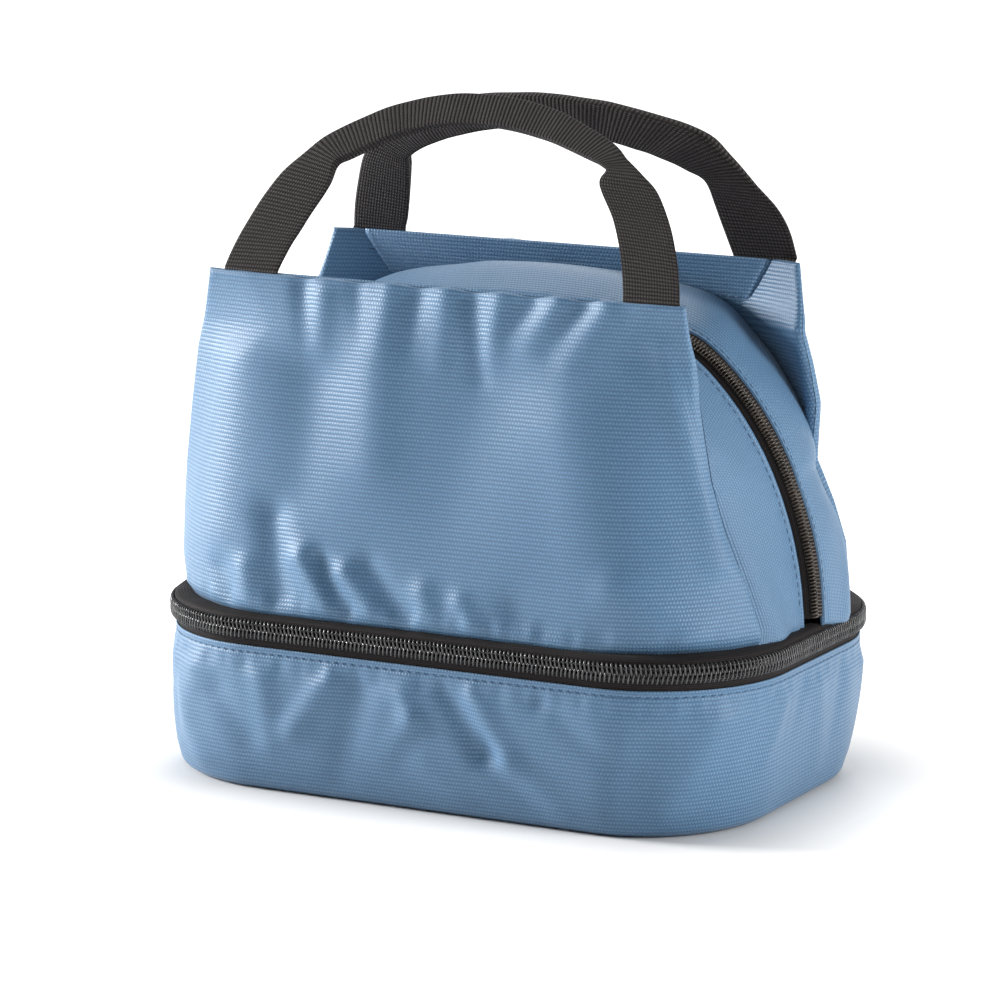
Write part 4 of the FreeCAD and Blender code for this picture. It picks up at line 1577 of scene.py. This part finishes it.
    def hem(self) -> bpy.types.Object:
        """The turned hem inside the top of the panel, with mitred ends, and its stitches."""
        depth = np.array([-0.2, 0.8, 2.0, 4.0, 7.0, 10.0, 13.0, 16.0, 18.0, 19.0, 19.6, 20.0])
        share = np.linspace(-1, 1, 90)
        level = self.top_z - 0.6 - depth
        limit = self.crease(level + 3.0) + 0.4
        x = share[None, :] * limit[:, None]
        z = np.broadcast_to(level[:, None], x.shape)
        base = self.face_y(x, z)
        wave = 0.28 * ripple(x, 37.0, 0.4) * np.clip(depth / 20, 0, 1)[:, None]
        y = (base - 3.05 - 0.35 * np.exp(-(((depth[:, None] - 19.2) / 1.0) ** 2)) + wave) * self.side.toward
        grid = np.stack([x, y, z], axis=-1)
        name = self.side.value
        piece = grid_piece(f"{name}_hem_band", grid, grid_chart(grid))
        solid = thicken(piece, 0.8, 0.0)
        dress(solid, self.finishes.shell, Slot.SHELL, self.side.body, f"{name}_hem", f"{name}_strap_ends")
        seam = grid[7][2:-2] - np.array([0.0, self.side.toward * 0.42, 0.0])
        normals = np.tile([0.0, -self.side.toward, 0.0], (len(seam), 1))
        stitches = StitchRun(length=2.5, gap=0.9, thick=0.38).build(f"{name}_hem_stitching", seam, normals)
        dress(stitches, self.finishes.thread, Slot.SHELL, self.side.body)
        return piece

    def kept_on_panel(self, x: np.ndarray, rise: np.ndarray) -> np.ndarray:
        """Places across, held just inside the two edges of the panel.

        Args:
            x: places across.
            rise: heights above the foot, one for each place.

        Returns:
            The limited places.
        """
        up = np.clip(rise / (self.top_z - FOOT_LEVEL), 0.0, 1.0)
        right = self.skeleton(np.ones(len(up)), up)[:, 0] - SEAM_INSET
        left = self.skeleton(-np.ones(len(up)), up)[:, 0] + SEAM_INSET
        return np.clip(x, left, right)

    def gusset_lines(self) -> tuple[np.ndarray, np.ndarray]:
        """The zip edge and the seam of this half of the dome, point for point.

        Returns:
            Two lines of the same length, from the right foot to the left foot.
        """
        start = dome_zip_points()
        flat = self.seam.trace()
        x = self.kept_on_panel(flat[:, 0], flat[:, 1])
        y = np.full(len(flat), self.side.toward * self.seam_y)
        end = np.column_stack([x, y, FOOT_LEVEL + flat[:, 1]])
        marks = np.linspace(0.35, 1.0, 40)
        sample = start[:, None] + (end - start)[:, None] * marks[None, :, None]
        keep = slice(None, None, 3)
        reach = self.face_y(sample[keep, :, 0], np.minimum(sample[keep, :, 2], self.top_z)) - 2.5
        past = sample[keep, :, 1] * self.side.toward - reach
        share = np.array([np.interp(0.0, row, marks) for row in past])
        every = np.arange(len(start))
        share = np.interp(every, every[keep], share)
        met = start + (end - start) * share[:, None]
        met[:, 0] = self.kept_on_panel(met[:, 0], met[:, 2] - FOOT_LEVEL)
        return start, met

    def gusset(self) -> bpy.types.Object:
        """Half of the dome as one padded skin between the zip and the panel."""
        zip_edge, seam = self.gusset_lines()
        ruling = unit(seam - zip_edge)
        outward = unit(np.cross(ruling, tangents(zip_edge)))
        outward = outward * np.sign((outward * (zip_edge - [0.0, 0.0, 95.0])).sum(axis=1, keepdims=True))
        start = zip_edge + ruling * self.zip_gap + outward * self.zip_step * self.zip_gap / 4.5
        pick = respaced_index(zip_edge, 2.1)
        start, seam = interpolate_rows(start, pick), interpolate_rows(seam, pick)
        share = np.concatenate([[0.0, 0.012, 0.03], np.linspace(0.055, 1.0, 30)])
        outer = start[None] + (seam - start)[None] * share[:, None, None]
        centre = np.array([0.0, 0.0, 95.0])
        normal = surface_normals(outer, outer - centre)
        along = run_length(start)
        along = along - along[-1] / 2
        across = np.linalg.norm(outer - start[None], axis=-1)
        height = folded(self.gusset_folds, np.broadcast_to(along, across.shape), across)
        swell = self.gusset_swell * np.sin(math.pi * share**1.2) ** 0.8
        pinch = -0.9 * np.exp(-(((across - 2.4) / 1.1) ** 2)) * 0.35
        lip = 0.35 * np.exp(-((across / 1.2) ** 2))
        pucker = 0.22 * ripple(along, 9.0, 2.2)[None] * np.exp(-(((across - 4.5) / 3.5) ** 2))
        gate = np.clip(share / 0.1, 0, 1)[:, None] * np.clip((1.02 - share) / 0.1, 0, 1)[:, None]
        thick = 1.6 + 2.6 * np.clip(across / 14.0, 0, 1) ** 1.2
        inner = outer - normal * thick[..., None]
        outer = outer + normal * ((height + swell[:, None]) * gate + pinch + lip + pucker)[..., None]
        outer[..., 2] = np.maximum(outer[..., 2], FOOT_LEVEL + 0.1)
        inner[..., 2] = np.maximum(inner[..., 2], FOOT_LEVEL + 0.1)
        outer, inner = outer[::-1], inner[::-1]
        name = self.side.value
        lip_turn = np.array([0.0, -0.3 * self.side.toward, 0.0])
        piece = self.slab(f"{name}_gusset_padded", outer, inner, lip_turn)
        nodes = [f"{name}_gusset", f"{name}_gusset_foam", f"{name}_gusset_lining"]
        dress(piece, self.finishes.shell, Slot.SHELL, self.side.body, *nodes)
        piece.data.materials.append(self.finishes.lining)
        seam_strip = len(piece.data.polygons) - self.faces_across
        for face in piece.data.polygons:
            if self.first_inner_face <= face.index < seam_strip:
                face.material_index = 1
        self.gusset_stitches(outer[::-1], surface_normals(outer[::-1], outer[::-1] - centre))
        return piece

    def gusset_stitches(self, outer: np.ndarray, normal: np.ndarray) -> None:
        """Topstitching beside the zip: all along on the rear half, only low on the flanks in front.

        Args:
            outer: the gusset's outer face, from the zip edge to the seam.
            normal: its outward directions.
        """
        far = np.linalg.norm(outer[:, 60] - outer[0, 60], axis=-1)
        row = int(np.argmin(np.abs(far - 2.4)))
        seam = outer[row, 4:-4] + normal[row, 4:-4] * 0.1
        facing = normal[row, 4:-4]
        runs = {"rear_gusset_stitching": np.ones(len(seam), bool)}
        if self.side is Side.FRONT:
            low = seam[:, 2] < self.top_z - 22.0
            runs = {
                "front_gusset_stitching_right": low & (seam[:, 0] > 0),
                "front_gusset_stitching_left": low & (seam[:, 0] < 0),
            }
        for name, keep in runs.items():
            piece = StitchRun(length=2.5, gap=0.9, thick=0.36).build(name, seam[keep], facing[keep])
            dress(piece, self.finishes.thread, Slot.SHELL, self.side.body)

    def build(self) -> None:
        """Build every piece of this half."""
        self.panel()
        self.hem()
        self.gusset()


def respaced_index(points: np.ndarray, step: float) -> np.ndarray:
    """Fractional row numbers that are evenly spaced along a line."""
    far = run_length(points)
    marks = np.linspace(0.0, far[-1], int(far[-1] / step) + 1)
    return np.interp(marks, far, np.arange(len(points)))


def interpolate_rows(points: np.ndarray, index: np.ndarray) -> np.ndarray:
    """Points at fractional row numbers."""
    rows = np.arange(len(points))
    return np.stack([np.interp(index, rows, points[:, axis]) for axis in range(3)], axis=1)


@dataclass
class DomeZip:
    """The coil zip over the dome: a tape and a coil on each half."""

    finishes: Finishes
    coil: CoilHalf = CoilHalf(pitch=1.36, width=2.4, depth=1.5, wire=0.31, phase=0.0)

    def half(self, side: Side, seam: np.ndarray, phase: float) -> None:
        """Build the tape and the coil of one half.

        Args:
            side: which half.
            seam: the far edge of that half's gusset, for the tape's slope.
            phase: shift of the spiral, in turns.
        """
        line = dome_zip_points()
        keep = slice(2, -2)
        away = unit(seam - line)
        ahead = tangents(line)
        outward = unit(np.cross(away, ahead))
        outward = outward * np.sign((outward * (line - [0.0, 0.0, 95.0])).sum(axis=1, keepdims=True))
        turned = 2.4 * (1.0 if side is Side.REAR else -1.0)
        away, outward = unit(away * 4.5 + outward * turned), unit(outward * 4.5 - away * turned)
        profile = [(0.25, -0.9), (0.25, -0.2), (0.8, 0.0), (3.4, 0.0)]
        profile += [(5.0, -0.5), (5.9, -1.4), (5.9, -2.0), (3.4, -0.9)]
        rows = [line + away * reach + outward * (high - 0.75) for reach, high in profile]
        grid = np.stack(rows)[:, keep]
        grid[..., 2] = np.maximum(grid[..., 2], FOOT_LEVEL + 0.1)
        tape = grid_piece(f"{side.value}_dome_tape", grid, grid_chart(grid, round_rows=True), round_rows=True)
        dress(tape, self.finishes.tape, Slot.TAPE, side.body, f"{side.value}_zip_tape")
        coil = replace(self.coil, phase=phase)
        pick = respaced_index(line, 0.8)
        fine = [interpolate_rows(values, pick)[4:-4] for values in (line + outward * -0.75, outward, away)]
        piece = coil.build(f"{side.value}_dome_coil", *fine)
        dress(piece, self.finishes.bronze_coil, Slot.TEETH, side.body, f"{side.value}_zip_teeth")

    def build(self, front: HalfShell, rear: HalfShell) -> None:
        """Build both halves of the zip."""
        self.half(Side.FRONT, front.gusset_lines()[1], 0.0)
        self.half(Side.REAR, rear.gusset_lines()[1], 0.5)


# ---------------------------------------------------------------- handles


@dataclass
class Handle:
    """A webbing loop: flat legs that come out of the hem, folded in half along the grip."""

    shell: HalfShell
    finishes: Finishes
    foot_y: float
    foot_z: float
    lean: float
    outer_edge: list[tuple[float, float]]
    inner_edge: list[tuple[float, float]]
    fold: list[float]
    webbing: float = 1.7
    folded: float = 4.4

    def place(self, x: np.ndarray, rise: np.ndarray, out: np.ndarray) -> np.ndarray:
        """A point of the leaning handle.

        Args:
            x: place across the bag.
            rise: distance up the leaning plane from the hem.
            out: distance outward from that plane.

        Returns:
            Points in millimetres.
        """
        tilt = math.radians(self.lean)
        toward = self.shell.side.toward
        below = np.minimum(rise, 0.0)
        rise = np.maximum(rise, 0.0)
        y = self.foot_y + toward * (out * math.cos(tilt) - rise * math.sin(tilt))
        z = self.foot_z + rise * math.cos(tilt) + out * math.sin(tilt)
        z = z + below
        tucked = self.shell.face_y(x, np.minimum(z, self.shell.top_z)) - 1.5 + out * 0.7
        share = np.clip(-below / 2.5, 0.0, 1.0)
        y = y * (1 - share) + toward * tucked * share
        return np.stack([x, y, z], axis=-1)

    def build(self) -> bpy.types.Object:
        """Make the loop, with its feet tucked against the panel's face.

        Returns:
            The webbing loop.
        """
        stations = np.column_stack([self.outer_edge, self.inner_edge, self.fold])
        fine = smooth_line(stations, 16)
        outer, inner = fine[:, 0:2], fine[:, 2:4]
        share = np.clip(fine[:, 4], 0.0, 1.0)
        across = inner - outer
        half = (self.webbing + (self.folded - self.webbing) * share) / 2
        face = [0.03, 0.12, 0.25, 0.4, 0.55, 0.7, 0.82, 0.92, 0.98]
        section = [(f, 1.0 - 0.12 * abs(2 * f - 1) ** 4, 0.0) for f in face]
        section += [(1.0, 0.72, 0.0), (1.0, 0.12, 0.0), (1.0, 0.0, -0.28)]
        section += [(1.0, -0.12, 0.0), (1.0, -0.72, 0.0)]
        section += [(f, -1.0 + 0.12 * abs(2 * f - 1) ** 4, 0.0) for f in face[::-1]]
        section += [(0.0, -0.7, 0.0), (-0.012, 0.0, 0.0), (0.0, 0.7, 0.0)]
        rows = []
        soft = 0.25 * ripple(run_length(outer), 27.0, 0.6)
        for reach, level, notch in section:
            at = outer + across * (reach + notch * share)[:, None]
            rows.append(self.place(at[:, 0], at[:, 1], half * level + soft))
        grid = np.stack(rows)
        around = run_length(np.concatenate([grid, grid[:1]])[:, len(outer) // 5])
        middle = (outer + inner) / 2
        chart = np.stack(np.meshgrid(around, run_length(middle), indexing="ij"), axis=-1)
        name = f"{self.shell.side.value}_handle_webbing"
        grid = np.concatenate([grid[:, :1].mean(axis=0, keepdims=True).repeat(len(grid), 0), grid], axis=1)
        end = grid[:, -1:].mean(axis=0, keepdims=True).repeat(len(grid), 0)
        grid = np.concatenate([grid, end], axis=1)
        chart = np.concatenate([chart[:, :1], chart, chart[:, -1:]], axis=1)
        piece = grid_piece(name, grid, chart, round_rows=True)
        face_out(piece)
        dress(piece, self.finishes.webbing, Slot.WEBBING, None, f"{self.shell.side.value}_handle")
        half = self.shell.side
        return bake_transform(piece)


# ---------------------------------------------------------------- sliders, studio


def dress_sliders(finishes: Finishes) -> None:
    """Finish the four metal parts that keep their own shape, with softened edges."""
    for name in ("base_zip_slider", "base_zip_pull", "dome_zip_slider", "dome_zip_pull"):
        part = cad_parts[name]
        part.data.materials.clear()
        part.data.materials.append(finishes.metal)
        bevel = part.modifiers.new("worn_edges", "BEVEL")
        bevel.width = 0.25 * MM
        bevel.segments = 2
        bevel.limit_method = "ANGLE"
        log.info("%s: kept from the frame", name)


@dataclass
class Studio:
    """Pale floor with a painted contact shadow, soft lights and the camera."""

    azimuth: float = 28.0
    pitch: float = 11.3
    distance: float = 1.858
    lens: float = 172.8
    target: tuple[float, float, float] = (-0.00725, 0.0, 0.1048)

    def camera(self) -> None:
        """Place the camera."""
        data = bpy.data.cameras.new("camera")
        data.lens = self.lens
        data.sensor_width = 36.0
        data.clip_start, data.clip_end = 0.1, 50.0
        view = bpy.data.objects.new("camera", data)
        turn, tilt = math.radians(self.azimuth), math.radians(self.pitch)
        back = Vector((math.sin(turn) * math.cos(tilt), -math.cos(turn) * math.cos(tilt), math.sin(tilt)))
        view.location = Vector(self.target) + back * self.distance
        view.rotation_euler = (-back).to_track_quat("-Z", "Y").to_euler()
        bpy.context.scene.collection.objects.link(view)
        bpy.context.scene.camera = view

    def light(self, name: str, place: tuple[float, float, float], size: float, power: float) -> None:
        """Add a square soft light that faces the bag.

        Args:
            name: its name.
            place: where it stands, in metres.
            size: its side.
            power: in watts.
        """
        data = bpy.data.lights.new(name, "AREA")
        data.shape = "SQUARE"
        data.size = size
        data.energy = power
        lamp = bpy.data.objects.new(name, data)
        lamp.location = place
        lamp.rotation_euler = (Vector((0, 0, 0.1)) - Vector(place)).to_track_quat("-Z", "Y").to_euler()
        bpy.context.scene.collection.objects.link(lamp)

    def sky_light(self) -> None:
        """One very soft light from above that reaches the whole floor evenly."""
        data = bpy.data.lights.new("ceiling", "SUN")
        data.energy = 1.35
        data.angle = math.radians(110.0)
        lamp = bpy.data.objects.new("ceiling", data)
        lamp.rotation_euler = (math.radians(-34.0), math.radians(-10.0), 0.0)
        bpy.context.scene.collection.objects.link(lamp)

    def floor(self) -> None:
        """A pale floor with a trace of grain, which glows everywhere except close round the bag: a painted
        contact shadow.
        """
        recipe = Recipe("pale_floor")
        place = recipe.node("ShaderNodeTexCoord")
        grain = recipe.noise(place.outputs["Object"], 3.0, 2.0)
        tones = [(0.2, (0.66, 0.66, 0.66)), (0.8, (0.70, 0.70, 0.70))]
        recipe.feed(recipe.shader.inputs["Base Color"], recipe.ramp(grain, tones))
        parts = recipe.node("ShaderNodeSeparateXYZ")
        recipe.feed(parts.inputs[0], place.outputs["Object"])
        # Painted contact shadow: the grey floor glows only past a rounded box round the bag's footprint, so
        # it stays darker next to the bag and white further out; the glow also lights the bag from below.
        beyond = []
        for axis, reach in ((0, 0.085), (1, 0.045)):
            far = recipe.math("SUBTRACT", recipe.math("ABSOLUTE", parts.outputs[axis], 0.0), reach)
            beyond.append(recipe.math("POWER", recipe.math("MAXIMUM", far, 0.0), 2.0))
        distance = recipe.math("POWER", recipe.math("ADD", beyond[0], beyond[1]), 0.5)
        glow_from, glow_over, full_glow = 0.036, 0.085, 0.8
        outside_painted_shadow = recipe.math("DIVIDE", recipe.math("SUBTRACT", distance, glow_from), glow_over)
        outside_painted_shadow = recipe.math("MINIMUM", recipe.math("MAXIMUM", outside_painted_shadow, 0.0), 1.0)
        glow = recipe.math("MULTIPLY", recipe.math("POWER", outside_painted_shadow, 0.9), full_glow)
        recipe.feed(recipe.shader.inputs["Emission Strength"], glow)
        recipe.shader.inputs["Emission Color"].default_value = (1.0, 1.0, 1.0, 1.0)
        material = recipe.settle(Roughness=0.6, Specular_IOR_Level=0.2)
        edge = np.linspace(-12000.0, 12000.0, 9)
        x, y = np.meshgrid(edge, edge)
        grid = np.stack([x, y, np.full_like(x, -0.1)], axis=-1)
        floor = grid_piece("floor", grid, grid_chart(grid))
        floor.data.materials.append(material)

    def build(self) -> None:
        """Set the floor, the lights, the sky and the camera."""
        self.floor()
        self.light("key_left", (-1.55, -0.42, 0.62), 0.45, 54.0)
        self.light("fill_right", (1.6, 0.1, 0.6), 0.6, 24.0)
        self.light("rear_rim", (-0.4, 1.5, 1.2), 0.9, 7.0)
        self.sky_light()
        world = bpy.data.worlds.new("white_room")
        world.use_nodes = True
        world.node_tree.nodes["Background"].inputs[0].default_value = (1.0, 1.0, 1.0, 1.0)
        world.node_tree.nodes["Background"].inputs[1].default_value = 0.2
        bpy.context.scene.world = world
        bpy.context.scene.view_settings.view_transform = "Standard"
        self.camera()


# ---------------------------------------------------------------- folds, handles and the whole bag


FRONT_FOLDS = [
    Fold((-60, 193), (-57, 176), 4.5, -1.7, 0.3),
    Fold((-50, 190), (-50, 172), 5.0, 1.3, 0.3),
    Fold((-36, 194), (-33, 178), 4.5, -1.2, 0.3),
    Fold((-22, 193), (-22, 174), 5.0, 1.4, 0.3),
    Fold((-10, 193), (-12, 174), 4.5, -1.5, 0.3),
    Fold((2, 193), (1, 170), 5.0, 1.4, 0.3),
    Fold((13, 193), (18, 166), 4.5, -1.8, 0.3),
    Fold((25, 193), (22, 172), 4.5, 1.3, 0.3),
    Fold((38, 194), (29, 182), 4.5, -1.5, 0.3),
    Fold((49, 194), (38, 178), 4.5, 1.3, 0.3),
    Fold((60, 195), (47, 178), 4.5, -1.6, 0.3),
    Fold((69, 193), (55, 172), 5.0, 1.2, 0.3),
    Fold((-53, 158), (-56, 118), 13.0, -1.8, 0.6),
    Fold((-25, 178), (-24, 132), 11.0, 1.9, 0.6),
    Fold((20, 160), (10, 120), 20.0, -1.6, 0.6),
    Fold((-85, 160), (-92, 100), 14.0, 1.5, 1.0),
    Fold((-66, 106), (-60, 78), 7.0, -2.0, 0.8),
    Fold((-51, 92), (-38, 76), 5.5, 1.6, 0.9),
    Fold((-43, 92), (-31, 74), 4.0, -1.3, 0.9),
    Fold((-32, 88), (-16, 73), 4.5, 1.3, 0.9),
    Fold((-22, 92), (-4, 74), 4.5, -1.0, 0.9),
    Fold((-88, 84), (-84, 74), 5.0, -1.0, 0.9),
    Fold((-76, 86), (-74, 73), 4.5, 0.9, 0.9),
    Fold((2, 84), (6, 74), 5.0, 1.0, 0.9),
    Fold((18, 82), (24, 73), 4.5, 0.9, 0.9),
    Fold((42, 80), (72, 73), 8.0, -1.3, 0.9),
    Fold((80, 92), (104, 76), 8.0, 1.3, 0.9),
    Fold((60, 150), (86, 100), 18.0, 1.3, 0.8),
    Fold((90, 180), (110, 100), 4.0, 0.8, 1.0),
]
REAR_FOLDS = [
    Fold((-40, 196), (-36, 176), 5.5, -1.4, 0.3),
    Fold((-24, 195), (-22, 170), 6.0, 1.3, 0.3),
    Fold((12, 196), (8, 172), 5.5, -1.4, 0.3),
    Fold((30, 195), (36, 168), 6.0, 1.2, 0.3),
    Fold((58, 190), (50, 150), 9.0, -1.6, 0.5),
    Fold((-60, 170), (-70, 120), 14.0, 1.7, 0.6),
    Fold((10, 150), (0, 110), 18.0, 1.4, 0.6),
    Fold((40, 96), (58, 76), 6.5, -1.6, 0.9),
    Fold((-30, 94), (-44, 76), 6.0, 1.4, 0.9),
    Fold((-10, 90), (-4, 75), 5.0, -1.2, 0.9),
    Fold((84, 100), (80, 76), 7.0, 1.4, 0.8),
]
FRONT_GUSSET_FOLDS = [
    Fold((-205, 20), (-150, 34), 6.0, 1.6, 0.4),
    Fold((-203, 38), (-160, 46), 5.0, -1.6, 0.4),
    Fold((-196, 10), (-170, 18), 4.0, -0.9, 0.4),
    Fold((196, 22), (150, 34), 6.5, 1.5, 0.4),
    Fold((200, 40), (160, 44), 5.0, -1.5, 0.4),
    Fold((-120, 30), (-90, 36), 9.0, 1.2, 0.5),
    Fold((120, 28), (84, 34), 9.0, 1.2, 0.5),
]
REAR_GUSSET_FOLDS = [
    Fold((-205, 18), (-160, 30), 5.5, 1.6, 0.4),
    Fold((-200, 30), (-165, 40), 4.5, -1.5, 0.4),
    Fold((-90, 34), (-60, 30), 8.0, -1.4, 0.5),
    Fold((205, 20), (160, 30), 6.0, 1.5, 0.4),
    Fold((198, 36), (165, 42), 5.0, -1.4, 0.4),
    Fold((-30, 26), (30, 30), 12.0, 1.2, 1.0),
]


def build_handles(finishes: Finishes, front_shell: HalfShell, rear_shell: HalfShell) -> None:
    """Build both handles from their edges, right foot first, in the plane of each handle."""
    front = Handle(
        front_shell,
        finishes,
        foot_y=-57.2,
        foot_z=197.6,
        lean=36.0,
        outer_edge=[
            (97.5, -9), (97, -1), (92, 14), (85, 29), (75.5, 43.5), (67, 51), (59, 57), (50, 64), (24, 75.5),
            (0, 80), (-22, 79.5), (-44, 73.5), (-66, 61), (-76, 51.5), (-84.5, 41), (-91, 24), (-94.5, 8),
            (-95.5, -1), (-95.5, -9),
        ],
        inner_edge=[
            (75, -9), (74.5, -1), (68.5, 16), (61, 31), (51, 45.5), (52, 51.5), (49, 54), (43, 56.5),
            (21, 64), (0, 67.5), (-21, 66.5), (-39, 61), (-57, 50.5), (-62, 46.5), (-62.5, 37), (-67.5, 21),
            (-71, 8), (-72.5, -1), (-72.5, -9),
        ],
        fold=[0, 0, 0, 0, 0.12, 0.8, 1, 1, 1, 1, 1, 1, 1, 0.8, 0.1, 0, 0, 0, 0],
    )
    rear = Handle(
        rear_shell,
        finishes,
        foot_y=39.4,
        foot_z=201.6,
        lean=28.0,
        outer_edge=[
            (99.5, -9), (99.5, -1), (99, 12), (96, 22), (88.5, 34), (81, 45), (73.5, 54.5), (58, 60.5),
            (32, 66.5), (4, 68.5), (-28, 65), (-52, 56), (-70, 45), (-79, 36), (-86, 22), (-91, 9),
            (-94, -1), (-94.5, -9),
        ],
        inner_edge=[
            (73, -9), (73, -1), (71.5, 12), (70, 24), (68.5, 33.5), (62, 38.5), (54, 43), (44, 46.5),
            (27, 51), (3, 54), (-23, 51), (-46, 43.5), (-58, 36.5), (-60, 31), (-64, 18), (-68, 6),
            (-71, -1), (-71.5, -9),
        ],
        fold=[0, 0, 0, 0, 0.15, 0.8, 1, 1, 1, 1, 1, 1, 1, 0.7, 0.1, 0, 0, 0],
    )
    front.build()
    rear.build()


def main() -> None:
    """Build the bag from the floor up, then the studio."""
    logging.basicConfig(level=logging.INFO, format="%(name)s %(message)s")
    finishes = Finishes()
    Base(finishes).build()
    RimZip(finishes).build()
    Divider(finishes).build()
    front = HalfShell(
        Side.FRONT,
        finishes,
        top_y=60.0,
        top_z=197.0,
        seam=DomeLine(half=118.0, radius=220.0, shoulder_x=66.0, shoulder_rise=108.0, crest=119.0),
        seam_y=68.0,
        folds=FRONT_FOLDS,
        gusset_folds=FRONT_GUSSET_FOLDS,
    )
    rear = HalfShell(
        Side.REAR,
        finishes,
        top_y=42.0,
        top_z=201.0,
        seam=DomeLine(half=119.0, radius=165.0, shoulder_x=63.0, shoulder_rise=117.0, crest=124.0),
        seam_y=56.0,
        folds=REAR_FOLDS,
        gusset_folds=REAR_GUSSET_FOLDS,
        ear_bend=0.42,
        swell=1.6,
        edge_marks=(0.0, 0.1, 0.19, 0.3, 0.42, 0.6, 0.84, 1.0),
        edge_shift=(0.0, 2.0, 3.0, 0.0, -5.5, 2.5, 4.0, 1.8),
        left_marks=(0.0, 0.5, 1.0),
        left_shift=(0.0, 0.0, 0.0),
        zip_gap=4.6,
        zip_step=1.6,
        gusset_swell=4.2,
    )
    front.build()
    rear.build()
    DomeZip(finishes).build(front, rear)
    build_handles(finishes, front, rear)
    dress_sliders(finishes)
    Studio().build()


if __name__ == "__main__":
    main()
